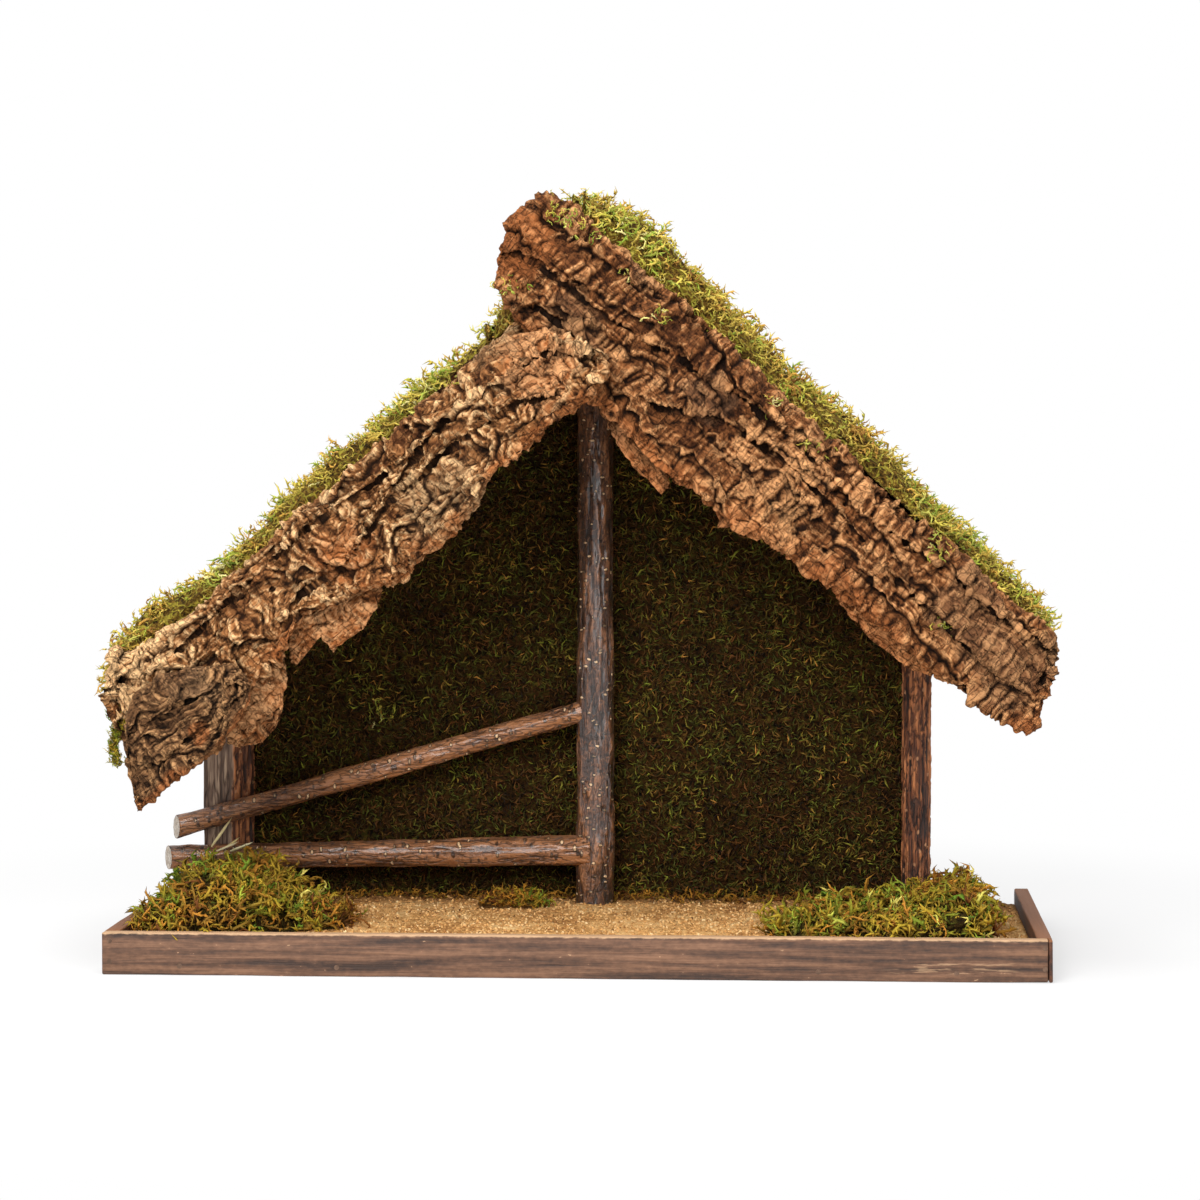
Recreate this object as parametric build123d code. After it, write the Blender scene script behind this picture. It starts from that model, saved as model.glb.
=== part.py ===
"""Rustic crib stable: a tray that carries a shelter of branches, cork bark and moss.

Lengths are in millimetres. The origin is the middle of the tray's underside,
+X runs to the right of the open front, +Y runs to the back wall and +Z is up.
"""
from build123d import *
import math
import os

# Tray of stained strips round a floor board
TRAY_WIDTH = 450.0
TRAY_DEPTH = 200.0
RAIL_HEIGHT = 20.5
BACK_RAIL_HEIGHT = 12.0
RAIL_THICK = 7.5
RAIL_LIP = 2.2
RAIL_END_ROUND = 3.0
FLOOR_THICK = 9.0
BED_THICK = 7.5
BED_LOW_THICK = 3.5
BED_SLOPE_WIDTH = 20.0
BED_RELIEF = 1.0
BED_LUMPS_ACROSS = 6
BED_LUMPS_DEEP = 4

# Back wall
PANEL_THICK = 4.0
WALL_MOSS_THICK = 8.0

# Split left post, half-round right post and round centre pole
LEFT_POST_INSET = 20.0
LEFT_POST_WIDTH = 24.5
LEFT_POST_DEPTH = 22.0
LEFT_POST_FLAT = 16.5
LEFT_POST_SLANT = 7.5
RIGHT_POST_INSET = 51.8
RIGHT_POST_WIDTH = 15.0
RIGHT_POST_DEPTH = 19.0
POLE_FOOT_DIAMETER = 20.4
POLE_TOP_DIAMETER = 18.6
POLE_SETBACK = 26.5

# Two fence branches between the left post and the pole
UPPER_RAIL_LEFT_DIAMETER = 11.8
UPPER_RAIL_RIGHT_DIAMETER = 11.2
UPPER_RAIL_OVERHANG = 14.5
UPPER_RAIL_LEFT_HEIGHT = 53.2
UPPER_RAIL_RIGHT_HEIGHT = 117.0
LOWER_RAIL_LEFT_DIAMETER = 12.8
LOWER_RAIL_RIGHT_DIAMETER = 16.0
LOWER_RAIL_OVERHANG = 19.5
LOWER_RAIL_LEFT_HEIGHT = 38.0
LOWER_RAIL_RIGHT_HEIGHT = 43.5

# Roof boards, ridge batten and front rafters
APEX_HEIGHT = 325.0
ROOF_PITCH_DEGREES = 42.0
ROOF_FRONT_INSET = 38.0
ROOF_BACK_INSET = 4.0
BOARD_THICK = 5.0
BOARD_EAVE_INSET = 14.0
BATTEN_WIDTH = 20.0
BATTEN_DEPTH = 20.0
BATTEN_FRONT_SETBACK = 10.0
RAFTER_SIZE = 10.0
RAFTER_RIDGE_GAP = 16.0

# Cork bark on the roof
LEFT_EAVE_OVERHANG = 3.5
RIGHT_EAVE_OVERHANG = 0.5
LEFT_BARK_THICK = 10.0
RIGHT_BARK_THICK = 28.0
SHEET_STEPS = 9
SHEET_RAGGED = 3.0
SHEET_EDGE = 7.0
SHEET_EAVE_INSET = 9.0
FASCIA_THICK = 16.0
FASCIA_RELIEF = 2.0
FASCIA_DROP = 60.0
FASCIA_STEP = 21.0
CHIP_THICK = 13.0
EAVE_BARK_THICK = 11.0

# Moss
ROOF_MOSS_THICK = 12.0
ROOF_MOSS_STEPS = 12
ROOF_MOSS_BACK_INSET = 14.0
RIDGE_MOSS_WIDTH = 42.0
MOUND_FRONT_GAP = 2.0
LEFT_MOUND_WIDTH = 96.0
LEFT_MOUND_BACK_GAP = 1.0
LEFT_MOUND_HEIGHT = 29.0
LEFT_MOUND_GAP = 5.0
RIGHT_MOUND_WIDTH = 106.0
RIGHT_MOUND_BACK_GAP = 10.0
RIGHT_MOUND_HEIGHT = 20.0
POLE_TUFT_WIDTH = 34.0
POLE_TUFT_DEPTH = 20.0
POLE_TUFT_HEIGHT = 7.0
POLE_TUFT_GAP = 14.0

# Brads, nails and screws
BRAD_DIAMETER = 1.4
BRAD_HEAD_DIAMETER = 2.4
BRAD_HEAD_THICK = 0.7
BRAD_LENGTH = 16.0
NAIL_LENGTH = 26.0
BARK_BITE = 6.0
SCREW_DIAMETER = 3.2
SCREW_HEAD_DIAMETER = 6.4
SCREW_HEAD_DEPTH = 2.2
SCREW_LENGTH = 27.0
SCREW_SINK = 0.6

# Clearance where rough or curved faces meet
CONTACT_GAP = 0.2
CUT_OVERRUN = 5.0

# Bark planks, one row a station from the ridge end: place along the roof's reach, top as a share
# of the bark's upright thickness, drop as a share of the fascia's drop, step forward as a share,
# and two fissures as shares of the plank's height
RIGHT_FASCIA_SHARES = (
    (-0.160, 1.45, -0.60, 0.0, 0.26, 0.77),
    (-0.130, 1.66, -0.22, 0.0, 0.26, 0.66),
    (-0.080, 1.60, 0.16, 0.0, 0.25, 0.54),
    (-0.020, 1.27, 0.60, 0.0, 0.25, 0.49),
    (0.060, 1.00, 0.74, 0.0, 0.25, 0.54),
    (0.110, 1.00, 0.80, 0.0, 0.27, 0.60),
    (0.170, 0.98, 0.86, 0.0, 0.35, 0.66),
    (0.205, 1.00, 0.84, 0.0, 0.41, 0.70),
    (0.240, 0.97, 0.74, 0.0, 0.46, 0.71),
    (0.290, 1.00, 0.77, 0.0, 0.55, 0.75),
    (0.330, 1.00, 0.79, 0.0, 0.60, 0.78),
    (0.370, 0.98, 0.70, 0.0, 0.60, 0.79),
    (0.410, 1.00, 0.60, 0.0, 0.60, 0.78),
    (0.470, 1.00, 0.54, 0.0, 0.59, 0.77),
    (0.490, 1.01, 0.56, 0.0, 0.58, 0.76),
    (0.550, 1.00, 0.48, 0.0, 0.55, 0.74),
    (0.630, 0.99, 0.50, 0.0, 0.48, 0.73),
    (0.700, 0.97, 0.47, 0.0, 0.42, 0.77),
    (0.760, 1.00, 0.45, 0.0, 0.40, 0.80),
    (0.820, 1.00, 0.43, 0.0, 0.38, 0.83),
    (0.900, 0.98, 0.34, 0.0, 0.38, 0.84),
    (0.960, 1.00, 0.22, 0.0, 0.38, 0.82),
    (0.985, 1.00, -0.08, 0.0, 0.38, 0.78),
    (1.000, 0.92, -0.34, 0.0, 0.38, 0.74),
)
LEFT_FASCIA_SHARES = (
    (-0.055, -1.40, 0.52, 1.0, 0.30, 0.78),
    (-0.022, -1.45, 0.80, 1.0, 0.30, 0.80),
    (0.052, -0.76, 0.89, 1.0, 0.33, 0.80),
    (0.114, 0.18, 0.93, 1.0, 0.44, 0.74),
    (0.170, 0.85, 0.86, 1.0, 0.42, 0.63),
    (0.240, 1.00, 1.00, 0.5, 0.52, 0.75),
    (0.293, 1.00, 1.03, 0.2, 0.56, 0.75),
    (0.350, 0.95, 1.00, 0.0, 0.56, 0.72),
    (0.390, 1.00, 0.98, 0.0, 0.55, 0.74),
    (0.425, 1.00, 0.90, 0.0, 0.47, 0.75),
    (0.495, 0.95, 0.77, 0.0, 0.28, 0.79),
    (0.580, 1.00, 0.61, 0.0, 0.22, 0.82),
    (0.613, 1.00, 0.70, 0.0, 0.22, 0.83),
    (0.640, 1.00, 0.78, 0.0, 0.23, 0.84),
    (0.718, 1.00, 0.74, 0.0, 0.25, 0.84),
    (0.757, 1.05, 0.78, 0.0, 0.28, 0.82),
    (0.830, 1.10, 0.80, 0.0, 0.30, 0.78),
    (0.897, 1.30, 0.72, 0.0, 0.32, 0.75),
    (0.945, 1.70, 0.50, 0.0, 0.35, 0.72),
    (0.972, 2.05, 0.22, 0.0, 0.36, 0.70),
    (0.987, 1.90, -0.04, 0.0, 0.36, 0.70),
)
EAVE_BARK_SHARES = (
    (0.687, -3.25, 0.90, 0.0, 0.36, 0.70),
    (0.713, -2.40, 0.96, 0.0, 0.37, 0.72),
    (0.748, -1.87, 1.05, 0.0, 0.34, 0.71),
    (0.805, -0.98, 1.04, 0.0, 0.31, 0.68),
    (0.867, -0.35, 1.00, 0.0, 0.30, 0.66),
    (0.917, -0.25, 0.99, 0.0, 0.32, 0.68),
    (0.937, -0.95, 0.55, 0.0, 0.36, 0.70),
)

# Layer of bark between two fissures, from its lower lip up: height share, share of the thickness
LAYER_PROFILE_SHARES = (
    (0.06, 1.00),
    (0.50, 0.93),
    (0.93, 0.80),
)
FISSURE_SHARE = 0.66
PLANK_EDGE_SHARE = 0.45

# Chips behind the fascias, one row a station: place along the reach, top and bottom drop shares
LEFT_UPPER_CHIP_SHARES = (
    (0.415, 0.73, 1.00),
    (0.455, 0.69, 1.14),
    (0.525, 0.57, 1.08),
    (0.545, 0.55, 0.88),
    (0.600, 0.52, 0.95),
    (0.618, 0.58, 0.84),
)
LEFT_LOWER_CHIP_SHARES = (
    (0.625, 0.72, 1.18),
    (0.645, 0.68, 1.30),
    (0.675, 0.62, 1.32),
    (0.718, 0.62, 1.19),
    (0.750, 0.72, 1.06),
)
RIGHT_UPPER_CHIP_SHARES = (
    (0.050, 0.62, 0.80),
    (0.085, 0.60, 0.94),
    (0.140, 0.60, 1.00),
    (0.175, 0.66, 1.03),
    (0.192, 0.72, 0.92),
)
RIGHT_LOWER_CHIP_SHARES = (
    (0.545, 0.40, 0.58),
    (0.620, 0.40, 0.68),
    (0.705, 0.40, 0.62),
    (0.755, 0.39, 0.52),
)

# Moss mats and mounds: rise across the depth, from the front edge to the back edge
MAT_PROFILE_SHARES = (
    (0.00, 0.45),
    (0.06, 0.90),
    (0.24, 1.00),
    (0.45, 0.82),
    (0.68, 0.95),
    (0.90, 0.75),
    (1.00, 0.30),
)
RIGHT_MAT_RISE_SHARES = (1.05, 1.90, 2.10, 2.00, 1.70, 1.10, 1.40, 1.70, 1.50, 1.10, 1.25, 1.10, 0.80)
LEFT_MAT_RISE_SHARES = (0.95, 0.80, 0.90, 1.10, 1.35, 1.55, 1.60, 1.40, 1.20, 1.35, 1.70, 2.30, 1.90)
RIDGE_MOSS_SHARES = ((0.00, 0.95), (0.30, 1.20), (0.62, 0.95), (1.00, 0.35))

# Ground mounds, one row a station: place along the width, height, front and back shares
LEFT_MOUND_SHARES = (
    (0.00, 0.30, 0.12, 0.90),
    (0.14, 0.70, 0.03, 1.00),
    (0.32, 1.00, 0.00, 1.00),
    (0.52, 0.86, 0.05, 0.96),
    (0.74, 0.50, 0.16, 0.78),
    (1.00, 0.12, 0.30, 0.55),
)
RIGHT_MOUND_SHARES = (
    (0.00, 0.12, 0.22, 0.45),
    (0.18, 0.45, 0.08, 0.60),
    (0.42, 0.55, 0.02, 0.70),
    (0.62, 0.70, 0.02, 0.85),
    (0.80, 0.95, 0.00, 0.98),
    (0.91, 1.00, 0.05, 1.00),
    (1.00, 0.40, 0.30, 0.86),
)
POLE_TUFT_SHARES = (
    (0.00, 0.25, 0.30, 0.70),
    (0.35, 1.00, 0.00, 1.00),
    (0.70, 0.70, 0.10, 0.90),
    (1.00, 0.20, 0.35, 0.65),
)

# Places of the fasteners along the pieces that they hold
CORNER_BRAD_SHARES = (0.32, 0.80)
LONG_EDGE_BRAD_SHARES = (-0.417, -0.25, 0.256, 0.40)
SHORT_EDGE_BRAD_SHARES = (-0.3, 0.0, 0.3)
POST_BRAD_SHARES = (0.25, 0.5, 0.75)
POST_BRAD_SIDE_SHARE = 0.7
BATTEN_BRAD_SIDE_SHARE = 0.25
LEFT_BATTEN_BRAD_SHARES = (0.20, 0.62)
RIGHT_BATTEN_BRAD_SHARES = (0.36, 0.80)
BARK_BRAD_SHARES = ((0.25, 0.3), (0.55, 0.7), (0.85, 0.35))
FASCIA_BRAD_SHARES = (0.42, 0.62, 0.8)

# Relief of the bark and moss, in radians a station and a point
WAVE_ALONG = 2.3
WAVE_ACROSS = 1.7

# Values worked out from the sizes above
PITCH = math.radians(ROOF_PITCH_DEGREES)
HALF_WIDTH = TRAY_WIDTH / 2
FRONT_Y = -TRAY_DEPTH / 2
BACK_Y = TRAY_DEPTH / 2
INNER_X = HALF_WIDTH - RAIL_THICK
INNER_FRONT_Y = FRONT_Y + RAIL_THICK
INNER_BACK_Y = BACK_Y - RAIL_THICK
BED_TOP = FLOOR_THICK + BED_THICK
PANEL_FRONT_Y = INNER_BACK_Y - PANEL_THICK
LEFT_POST_OUTER_X = -HALF_WIDTH + LEFT_POST_INSET
LEFT_POST_INNER_X = LEFT_POST_OUTER_X + LEFT_POST_WIDTH
LEFT_POST_FRONT_Y = PANEL_FRONT_Y - LEFT_POST_DEPTH
LEFT_POST_MID_X = LEFT_POST_OUTER_X + LEFT_POST_FLAT / 2
RIGHT_POST_OUTER_X = HALF_WIDTH - RIGHT_POST_INSET
RIGHT_POST_INNER_X = RIGHT_POST_OUTER_X - RIGHT_POST_WIDTH
RIGHT_POST_MID_X = RIGHT_POST_OUTER_X - RIGHT_POST_WIDTH / 2
POLE_Y = PANEL_FRONT_Y - POLE_SETBACK
ROOF_FRONT_Y = FRONT_Y + ROOF_FRONT_INSET
ROOF_BACK_Y = BACK_Y - ROOF_BACK_INSET
LEFT_REACH = HALF_WIDTH + LEFT_EAVE_OVERHANG
RIGHT_REACH = HALF_WIDTH + RIGHT_EAVE_OVERHANG
BOARD_RISE = BOARD_THICK / math.cos(PITCH)
RAFTER_RISE = RAFTER_SIZE / math.cos(PITCH)
BATTEN_BOTTOM = APEX_HEIGHT - BOARD_RISE - BATTEN_WIDTH / 2 * math.tan(PITCH) - BATTEN_DEPTH / 2


def roof_line(x):
    """Height of the roof boards' upper faces at x."""
    return APEX_HEIGHT - abs(x) * math.tan(PITCH)


def wave(station, point):
    """Smooth bump between -1 and 1 for one point of one station."""
    return math.sin(WAVE_ALONG * station + WAVE_ACROSS * point)


def prism_along_y(outline, y_from, y_to):
    """Solid with an outline in X and Z, from one Y to another."""
    wire = Wire.make_polygon([(x, y_from, z) for x, z in outline])
    return Solid.extrude(Face(wire), Vector(0, y_to - y_from, 0))


def prism_along_z(outline, z_from, z_to):
    """Solid with an outline in X and Y, from one height to another."""
    wire = Wire.make_polygon([(x, y, z_from) for x, y in outline])
    return Solid.extrude(Face(wire), Vector(0, 0, z_to - z_from))


def block(x_from, x_to, y_from, y_to, z_from, z_to):
    """Rectangular solid between two corners."""
    outline = [(x_from, y_from), (x_to, y_from), (x_to, y_to), (x_from, y_to)]
    return prism_along_z(outline, z_from, z_to)


def ruled(sections):
    """Solid with flat-sided facets through closed sections."""
    wires = [Wire.make_polygon(section) for section in sections]
    return Solid.make_loft(wires, ruled=True)


def turned(profile, start, direction):
    """Solid of revolution from a radius and depth profile, driven from start along direction."""
    wire = Wire.make_polygon([(radius, 0, depth) for radius, depth in profile])
    pin = Solid.revolve(Face(wire), 360, Axis.Z)
    return pin.moved(Plane(origin=start, z_dir=direction).location)


def tapered_bar(start, end, start_diameter, end_diameter):
    """Round bar between two points, tapering from one diameter to the other."""
    along = Vector(end) - Vector(start)
    length = along.length
    profile = [(0, 0), (start_diameter / 2, 0), (end_diameter / 2, length), (0, length)]
    return turned(profile, start, along)


def brad(start, direction, length):
    """Headed brad whose head lies flush at start."""
    shank = BRAD_DIAMETER / 2
    head = BRAD_HEAD_DIAMETER / 2
    thick = BRAD_HEAD_THICK
    profile = [(0, 0), (head, 0), (head, thick), (shank, thick), (shank, length), (0, length)]
    return turned(profile, start, direction)


def screw(start, direction):
    """Countersunk screw whose head is sunk below start."""
    shank = SCREW_DIAMETER / 2
    head = SCREW_HEAD_DIAMETER / 2
    sunk = SCREW_SINK + SCREW_HEAD_DEPTH
    profile = [(0, SCREW_SINK), (head, SCREW_SINK), (shank, sunk), (shank, SCREW_LENGTH), (0, SCREW_LENGTH)]
    return turned(profile, start, direction)


def sunk_hole(start, direction):
    """Hole that a countersunk screw's head sinks into."""
    head = SCREW_HEAD_DIAMETER / 2
    profile = [(0, 0), (head, 0), (head, SCREW_SINK), (0, SCREW_SINK)]
    return turned(profile, start, direction)


def slope_axes(side):
    """Directions down the slope and square to it, for the right side at 1 and the left at -1."""
    down = Vector(side * math.cos(PITCH), 0, -math.sin(PITCH))
    out = Vector(side * math.sin(PITCH), 0, math.cos(PITCH))
    return down, out


def tray_brads():
    """Brads through the rails into each other and into the floor board."""
    brads = []
    corner_x = HALF_WIDTH - RAIL_THICK / 2
    for side in (-1, 1):
        for share in CORNER_BRAD_SHARES:
            brads.append(brad((side * corner_x, FRONT_Y, share * RAIL_HEIGHT), (0, 1, 0), BRAD_LENGTH))
        back_place = (side * HALF_WIDTH, BACK_Y - RAIL_THICK / 2, BACK_RAIL_HEIGHT / 2)
        brads.append(brad(back_place, (-side, 0, 0), BRAD_LENGTH))
        for share in SHORT_EDGE_BRAD_SHARES:
            place = (side * HALF_WIDTH, share * TRAY_DEPTH, FLOOR_THICK / 2)
            brads.append(brad(place, (-side, 0, 0), BRAD_LENGTH))
        for share in LONG_EDGE_BRAD_SHARES:
            place = (share * TRAY_WIDTH, side * BACK_Y, FLOOR_THICK / 2)
            brads.append(brad(place, (0, -side, 0), BRAD_LENGTH))
    return brads


def post_screw_places():
    """Undersides of the two posts and the pole, on the tray's underside."""
    left = (LEFT_POST_MID_X, PANEL_FRONT_Y - LEFT_POST_DEPTH / 2, 0)
    right = (RIGHT_POST_MID_X, PANEL_FRONT_Y - RIGHT_POST_DEPTH / 2, 0)
    pole = (0, POLE_Y, 0)
    return left, right, pole


def rail_ends(left_height, right_height, overhang, diameter_at_post):
    """Centre line of a fence branch, from its free left end to the middle of the pole."""
    y = LEFT_POST_FRONT_Y - diameter_at_post / 2 - CONTACT_GAP
    left = Vector(LEFT_POST_OUTER_X - overhang, y, left_height)
    right = Vector(0, y, right_height)
    return left, right


def height_on_rail(ends, x):
    """Height of a fence branch's centre line at x."""
    left, right = ends
    share = (x - left.X) / (right.X - left.X)
    return left.Z + (right.Z - left.Z) * share


UPPER_ENDS = rail_ends(
    UPPER_RAIL_LEFT_HEIGHT, UPPER_RAIL_RIGHT_HEIGHT, UPPER_RAIL_OVERHANG, UPPER_RAIL_LEFT_DIAMETER
)
LOWER_ENDS = rail_ends(
    LOWER_RAIL_LEFT_HEIGHT, LOWER_RAIL_RIGHT_HEIGHT, LOWER_RAIL_OVERHANG, LOWER_RAIL_RIGHT_DIAMETER
)
FENCE_FRONT_Y = LOWER_ENDS[0].Y - LOWER_RAIL_RIGHT_DIAMETER / 2
POLE_TUFT_FRONT_Y = FENCE_FRONT_Y - POLE_TUFT_DEPTH


def fence_nails():
    """Nails through each branch into the left post, and through the pole into each branch's end."""
    nails = []
    for ends, diameter in ((UPPER_ENDS, UPPER_RAIL_LEFT_DIAMETER), (LOWER_ENDS, LOWER_RAIL_LEFT_DIAMETER)):
        front_y = ends[0].Y - diameter / 2 + BRAD_HEAD_THICK
        post_place = (LEFT_POST_MID_X, front_y, height_on_rail(ends, LEFT_POST_MID_X))
        nails.append(brad(post_place, (0, 1, 0), NAIL_LENGTH))
        pole_face = POLE_TOP_DIAMETER / 2
        pole_place = (pole_face, POLE_Y, height_on_rail(ends, 0))
        nails.append(brad(pole_place, (-1, 0, 0), NAIL_LENGTH))
    return nails


def panel_brads():
    """Brads through the back panel into the posts and the ridge batten."""
    brads = []
    left_x = LEFT_POST_OUTER_X + POST_BRAD_SIDE_SHARE * LEFT_POST_WIDTH
    right_x = RIGHT_POST_OUTER_X - POST_BRAD_SIDE_SHARE * RIGHT_POST_WIDTH
    for x in (left_x, right_x):
        foot = max(BACK_RAIL_HEIGHT, FLOOR_THICK)
        top = roof_line(x) - BOARD_RISE
        for share in POST_BRAD_SHARES:
            brads.append(brad((x, INNER_BACK_Y, foot + share * (top - foot)), (0, -1, 0), BRAD_LENGTH))
    batten_middle = BATTEN_BOTTOM + BATTEN_DEPTH / 2
    brads.append(brad((0, INNER_BACK_Y, batten_middle), (0, -1, 0), BRAD_LENGTH))
    return brads


def roof_brads():
    """Brads through the roof boards into the posts and the ridge batten."""
    brads = []
    post_y = PANEL_FRONT_Y - min(LEFT_POST_DEPTH, RIGHT_POST_DEPTH) / 2
    batten_front = ROOF_FRONT_Y + BATTEN_FRONT_SETBACK
    sides = (
        (-1, LEFT_POST_MID_X, LEFT_BATTEN_BRAD_SHARES),
        (1, RIGHT_POST_MID_X, RIGHT_BATTEN_BRAD_SHARES),
    )
    for side, post_x, batten_shares in sides:
        inwards = -slope_axes(side)[1]
        brads.append(brad((post_x, post_y, roof_line(post_x)), inwards, BRAD_LENGTH))
        batten_x = side * BATTEN_WIDTH * BATTEN_BRAD_SIDE_SHARE
        for share in batten_shares:
            y = batten_front + share * (PANEL_FRONT_Y - batten_front)
            brads.append(brad((batten_x, y, roof_line(batten_x)), inwards, BRAD_LENGTH))
    return brads


def bark_brads():
    """Brads from below, through the roof boards into the bark sheets."""
    brads = []
    for side, reach in ((-1, LEFT_REACH), (1, RIGHT_REACH)):
        down, out = slope_axes(side)
        for along_share, across_share in BARK_BRAD_SHARES:
            x = side * along_share * reach
            y = ROOF_FRONT_Y + across_share * (PANEL_FRONT_Y - ROOF_FRONT_Y)
            place = Vector(x, y, roof_line(x)) - out * BOARD_THICK
            brads.append(brad(place, out, BOARD_THICK + BARK_BITE))
    return brads


def fascia_brads():
    """Brads through the front rafters into the backs of the fascia planks."""
    brads = []
    for side, reach in ((-1, LEFT_REACH), (1, RIGHT_REACH)):
        for share in FASCIA_BRAD_SHARES:
            x = side * share * reach
            z = roof_line(x) - BOARD_RISE - RAFTER_RISE / 2
            place = (x, ROOF_FRONT_Y + RAFTER_SIZE, z)
            brads.append(brad(place, (0, -1, 0), RAFTER_SIZE + BARK_BITE))
    return brads


TRAY_BRADS = tray_brads()
POST_SCREWS = [screw(place, (0, 0, 1)) for place in post_screw_places()]
SCREW_HOLES = [sunk_hole(place, (0, 0, 1)) for place in post_screw_places()]
FENCE_NAILS = fence_nails()
PANEL_BRADS = panel_brads()
ROOF_BRADS = roof_brads()
BARK_BRADS = bark_brads()
FASCIA_BRADS = fascia_brads()


def front_rail():
    """Front strip, lapped at its right end by the lip of the right strip."""
    strip = block(-HALF_WIDTH, HALF_WIDTH - RAIL_LIP, FRONT_Y, INNER_FRONT_Y, 0, RAIL_HEIGHT)
    return strip.cut(*TRAY_BRADS)


def back_rail():
    """Lower back strip between the two side strips."""
    strip = block(-INNER_X, INNER_X, INNER_BACK_Y, BACK_Y, 0, BACK_RAIL_HEIGHT)
    return strip.cut(*TRAY_BRADS)


def side_rail(side):
    """Side strip with a rounded rear top corner; the right one has the front lip."""
    inner, outer = side * INNER_X, side * HALF_WIDTH
    strip = block(min(inner, outer), max(inner, outer), INNER_FRONT_Y, BACK_Y, 0, RAIL_HEIGHT)
    rear_edges = strip.edges().filter_by(Axis.X).group_by(Axis.Z)[-1].group_by(Axis.Y)[-1]
    strip = strip.fillet(RAIL_END_ROUND, rear_edges)
    if side > 0:
        lip = block(HALF_WIDTH - RAIL_LIP, HALF_WIDTH, FRONT_Y, INNER_FRONT_Y, 0, RAIL_HEIGHT)
        strip = strip.fuse(lip).clean()
    return strip.cut(*TRAY_BRADS)


def floor_board():
    """Board between the four strips, with countersinks under the uprights."""
    board = block(-INNER_X, INNER_X, INNER_FRONT_Y, INNER_BACK_Y, 0, FLOOR_THICK)
    return board.cut(*TRAY_BRADS, *POST_SCREWS, *SCREW_HOLES)


def evenly(start, end, steps):
    """Places from start to end, both included, the same distance apart."""
    return [start + (end - start) * step / steps for step in range(steps + 1)]


def bed_section(x, front_rows, rise, number):
    """Closed section of the ground bed, lumpy in its front rows by the given rise."""
    section = [(x, INNER_BACK_Y, FLOOR_THICK), (x, INNER_FRONT_Y, FLOOR_THICK)]
    for row, y in enumerate(front_rows):
        lump = rise * wave(number, row) if row < BED_LUMPS_DEEP else 0
        section.append((x, y, BED_TOP + lump))
    section.append((x, INNER_BACK_Y, BED_TOP))
    return section


def ground_bed():
    """Bed of glued granules, lumpy in the open between the mounds and lower at its right end."""
    slope_start = INNER_X - BED_SLOPE_WIDTH
    open_left = -INNER_X + LEFT_MOUND_GAP + LEFT_MOUND_WIDTH
    open_right = slope_start - RIGHT_MOUND_WIDTH
    places = evenly(open_left, open_right, BED_LUMPS_ACROSS)
    rows = evenly(INNER_FRONT_Y, POLE_TUFT_FRONT_Y, BED_LUMPS_DEEP)
    sections = [bed_section(-INNER_X, rows, 0, 0)]
    for number, x in enumerate(places):
        rise = BED_RELIEF if 0 < number < BED_LUMPS_ACROSS else 0
        sections.append(bed_section(x, rows, rise, number))
    sections.append(bed_section(slope_start, rows, 0, 0))
    low_end = bed_section(INNER_X, rows, 0, 0)
    sections.append([(x, y, min(z, FLOOR_THICK + BED_LOW_THICK)) for x, y, z in low_end])
    return ruled(sections).cut(left_post_bar(), right_post_bar(), pole_bar(), panel_plate())


def roof_wedge():
    """Space under the roof boards."""
    eave_x = TRAY_WIDTH
    peak = APEX_HEIGHT - BOARD_RISE
    eave_z = peak - eave_x * math.tan(PITCH)
    outline = [(-eave_x, eave_z), (eave_x, eave_z), (0, peak)]
    return prism_along_y(outline, FRONT_Y, BACK_Y)


def left_post_bar():
    """Split log with a pale flat face and a slanted face of bark, cut to the roof."""
    slant_x = LEFT_POST_OUTER_X + LEFT_POST_FLAT
    outline = [
        (LEFT_POST_OUTER_X, LEFT_POST_FRONT_Y),
        (slant_x, LEFT_POST_FRONT_Y),
        (LEFT_POST_INNER_X, LEFT_POST_FRONT_Y + LEFT_POST_SLANT),
        (LEFT_POST_INNER_X, PANEL_FRONT_Y),
        (LEFT_POST_OUTER_X, PANEL_FRONT_Y),
    ]
    return prism_along_z(outline, FLOOR_THICK, APEX_HEIGHT).intersect(roof_wedge()).solid()


def left_post():
    """Left post with the holes of its nails and screw."""
    return left_post_bar().cut(*POST_SCREWS, *FENCE_NAILS, *PANEL_BRADS, *ROOF_BRADS)


def right_post_bar():
    """Half-round branch with its flat side on the panel, cut to the roof."""
    radius = RIGHT_POST_WIDTH / 2
    round_y = PANEL_FRONT_Y - RIGHT_POST_DEPTH + radius
    bar = block(RIGHT_POST_INNER_X, RIGHT_POST_OUTER_X, round_y, PANEL_FRONT_Y, FLOOR_THICK, APEX_HEIGHT)
    front = Solid.make_cylinder(
        radius, APEX_HEIGHT - FLOOR_THICK, Plane(origin=(RIGHT_POST_MID_X, round_y, FLOOR_THICK))
    )
    return bar.fuse(front).clean().intersect(roof_wedge()).solid()


def right_post():
    """Right post with the holes of its brads and screw."""
    return right_post_bar().cut(*POST_SCREWS, *PANEL_BRADS, *ROOF_BRADS)


def pole_bar():
    """Round pole from the floor board to the ridge batten."""
    foot = (0, POLE_Y, FLOOR_THICK)
    top = (0, POLE_Y, BATTEN_BOTTOM)
    return tapered_bar(foot, top, POLE_FOOT_DIAMETER, POLE_TOP_DIAMETER)


def centre_pole():
    """Pole with the holes of its screw and nails."""
    return pole_bar().cut(*POST_SCREWS, *FENCE_NAILS)


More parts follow.
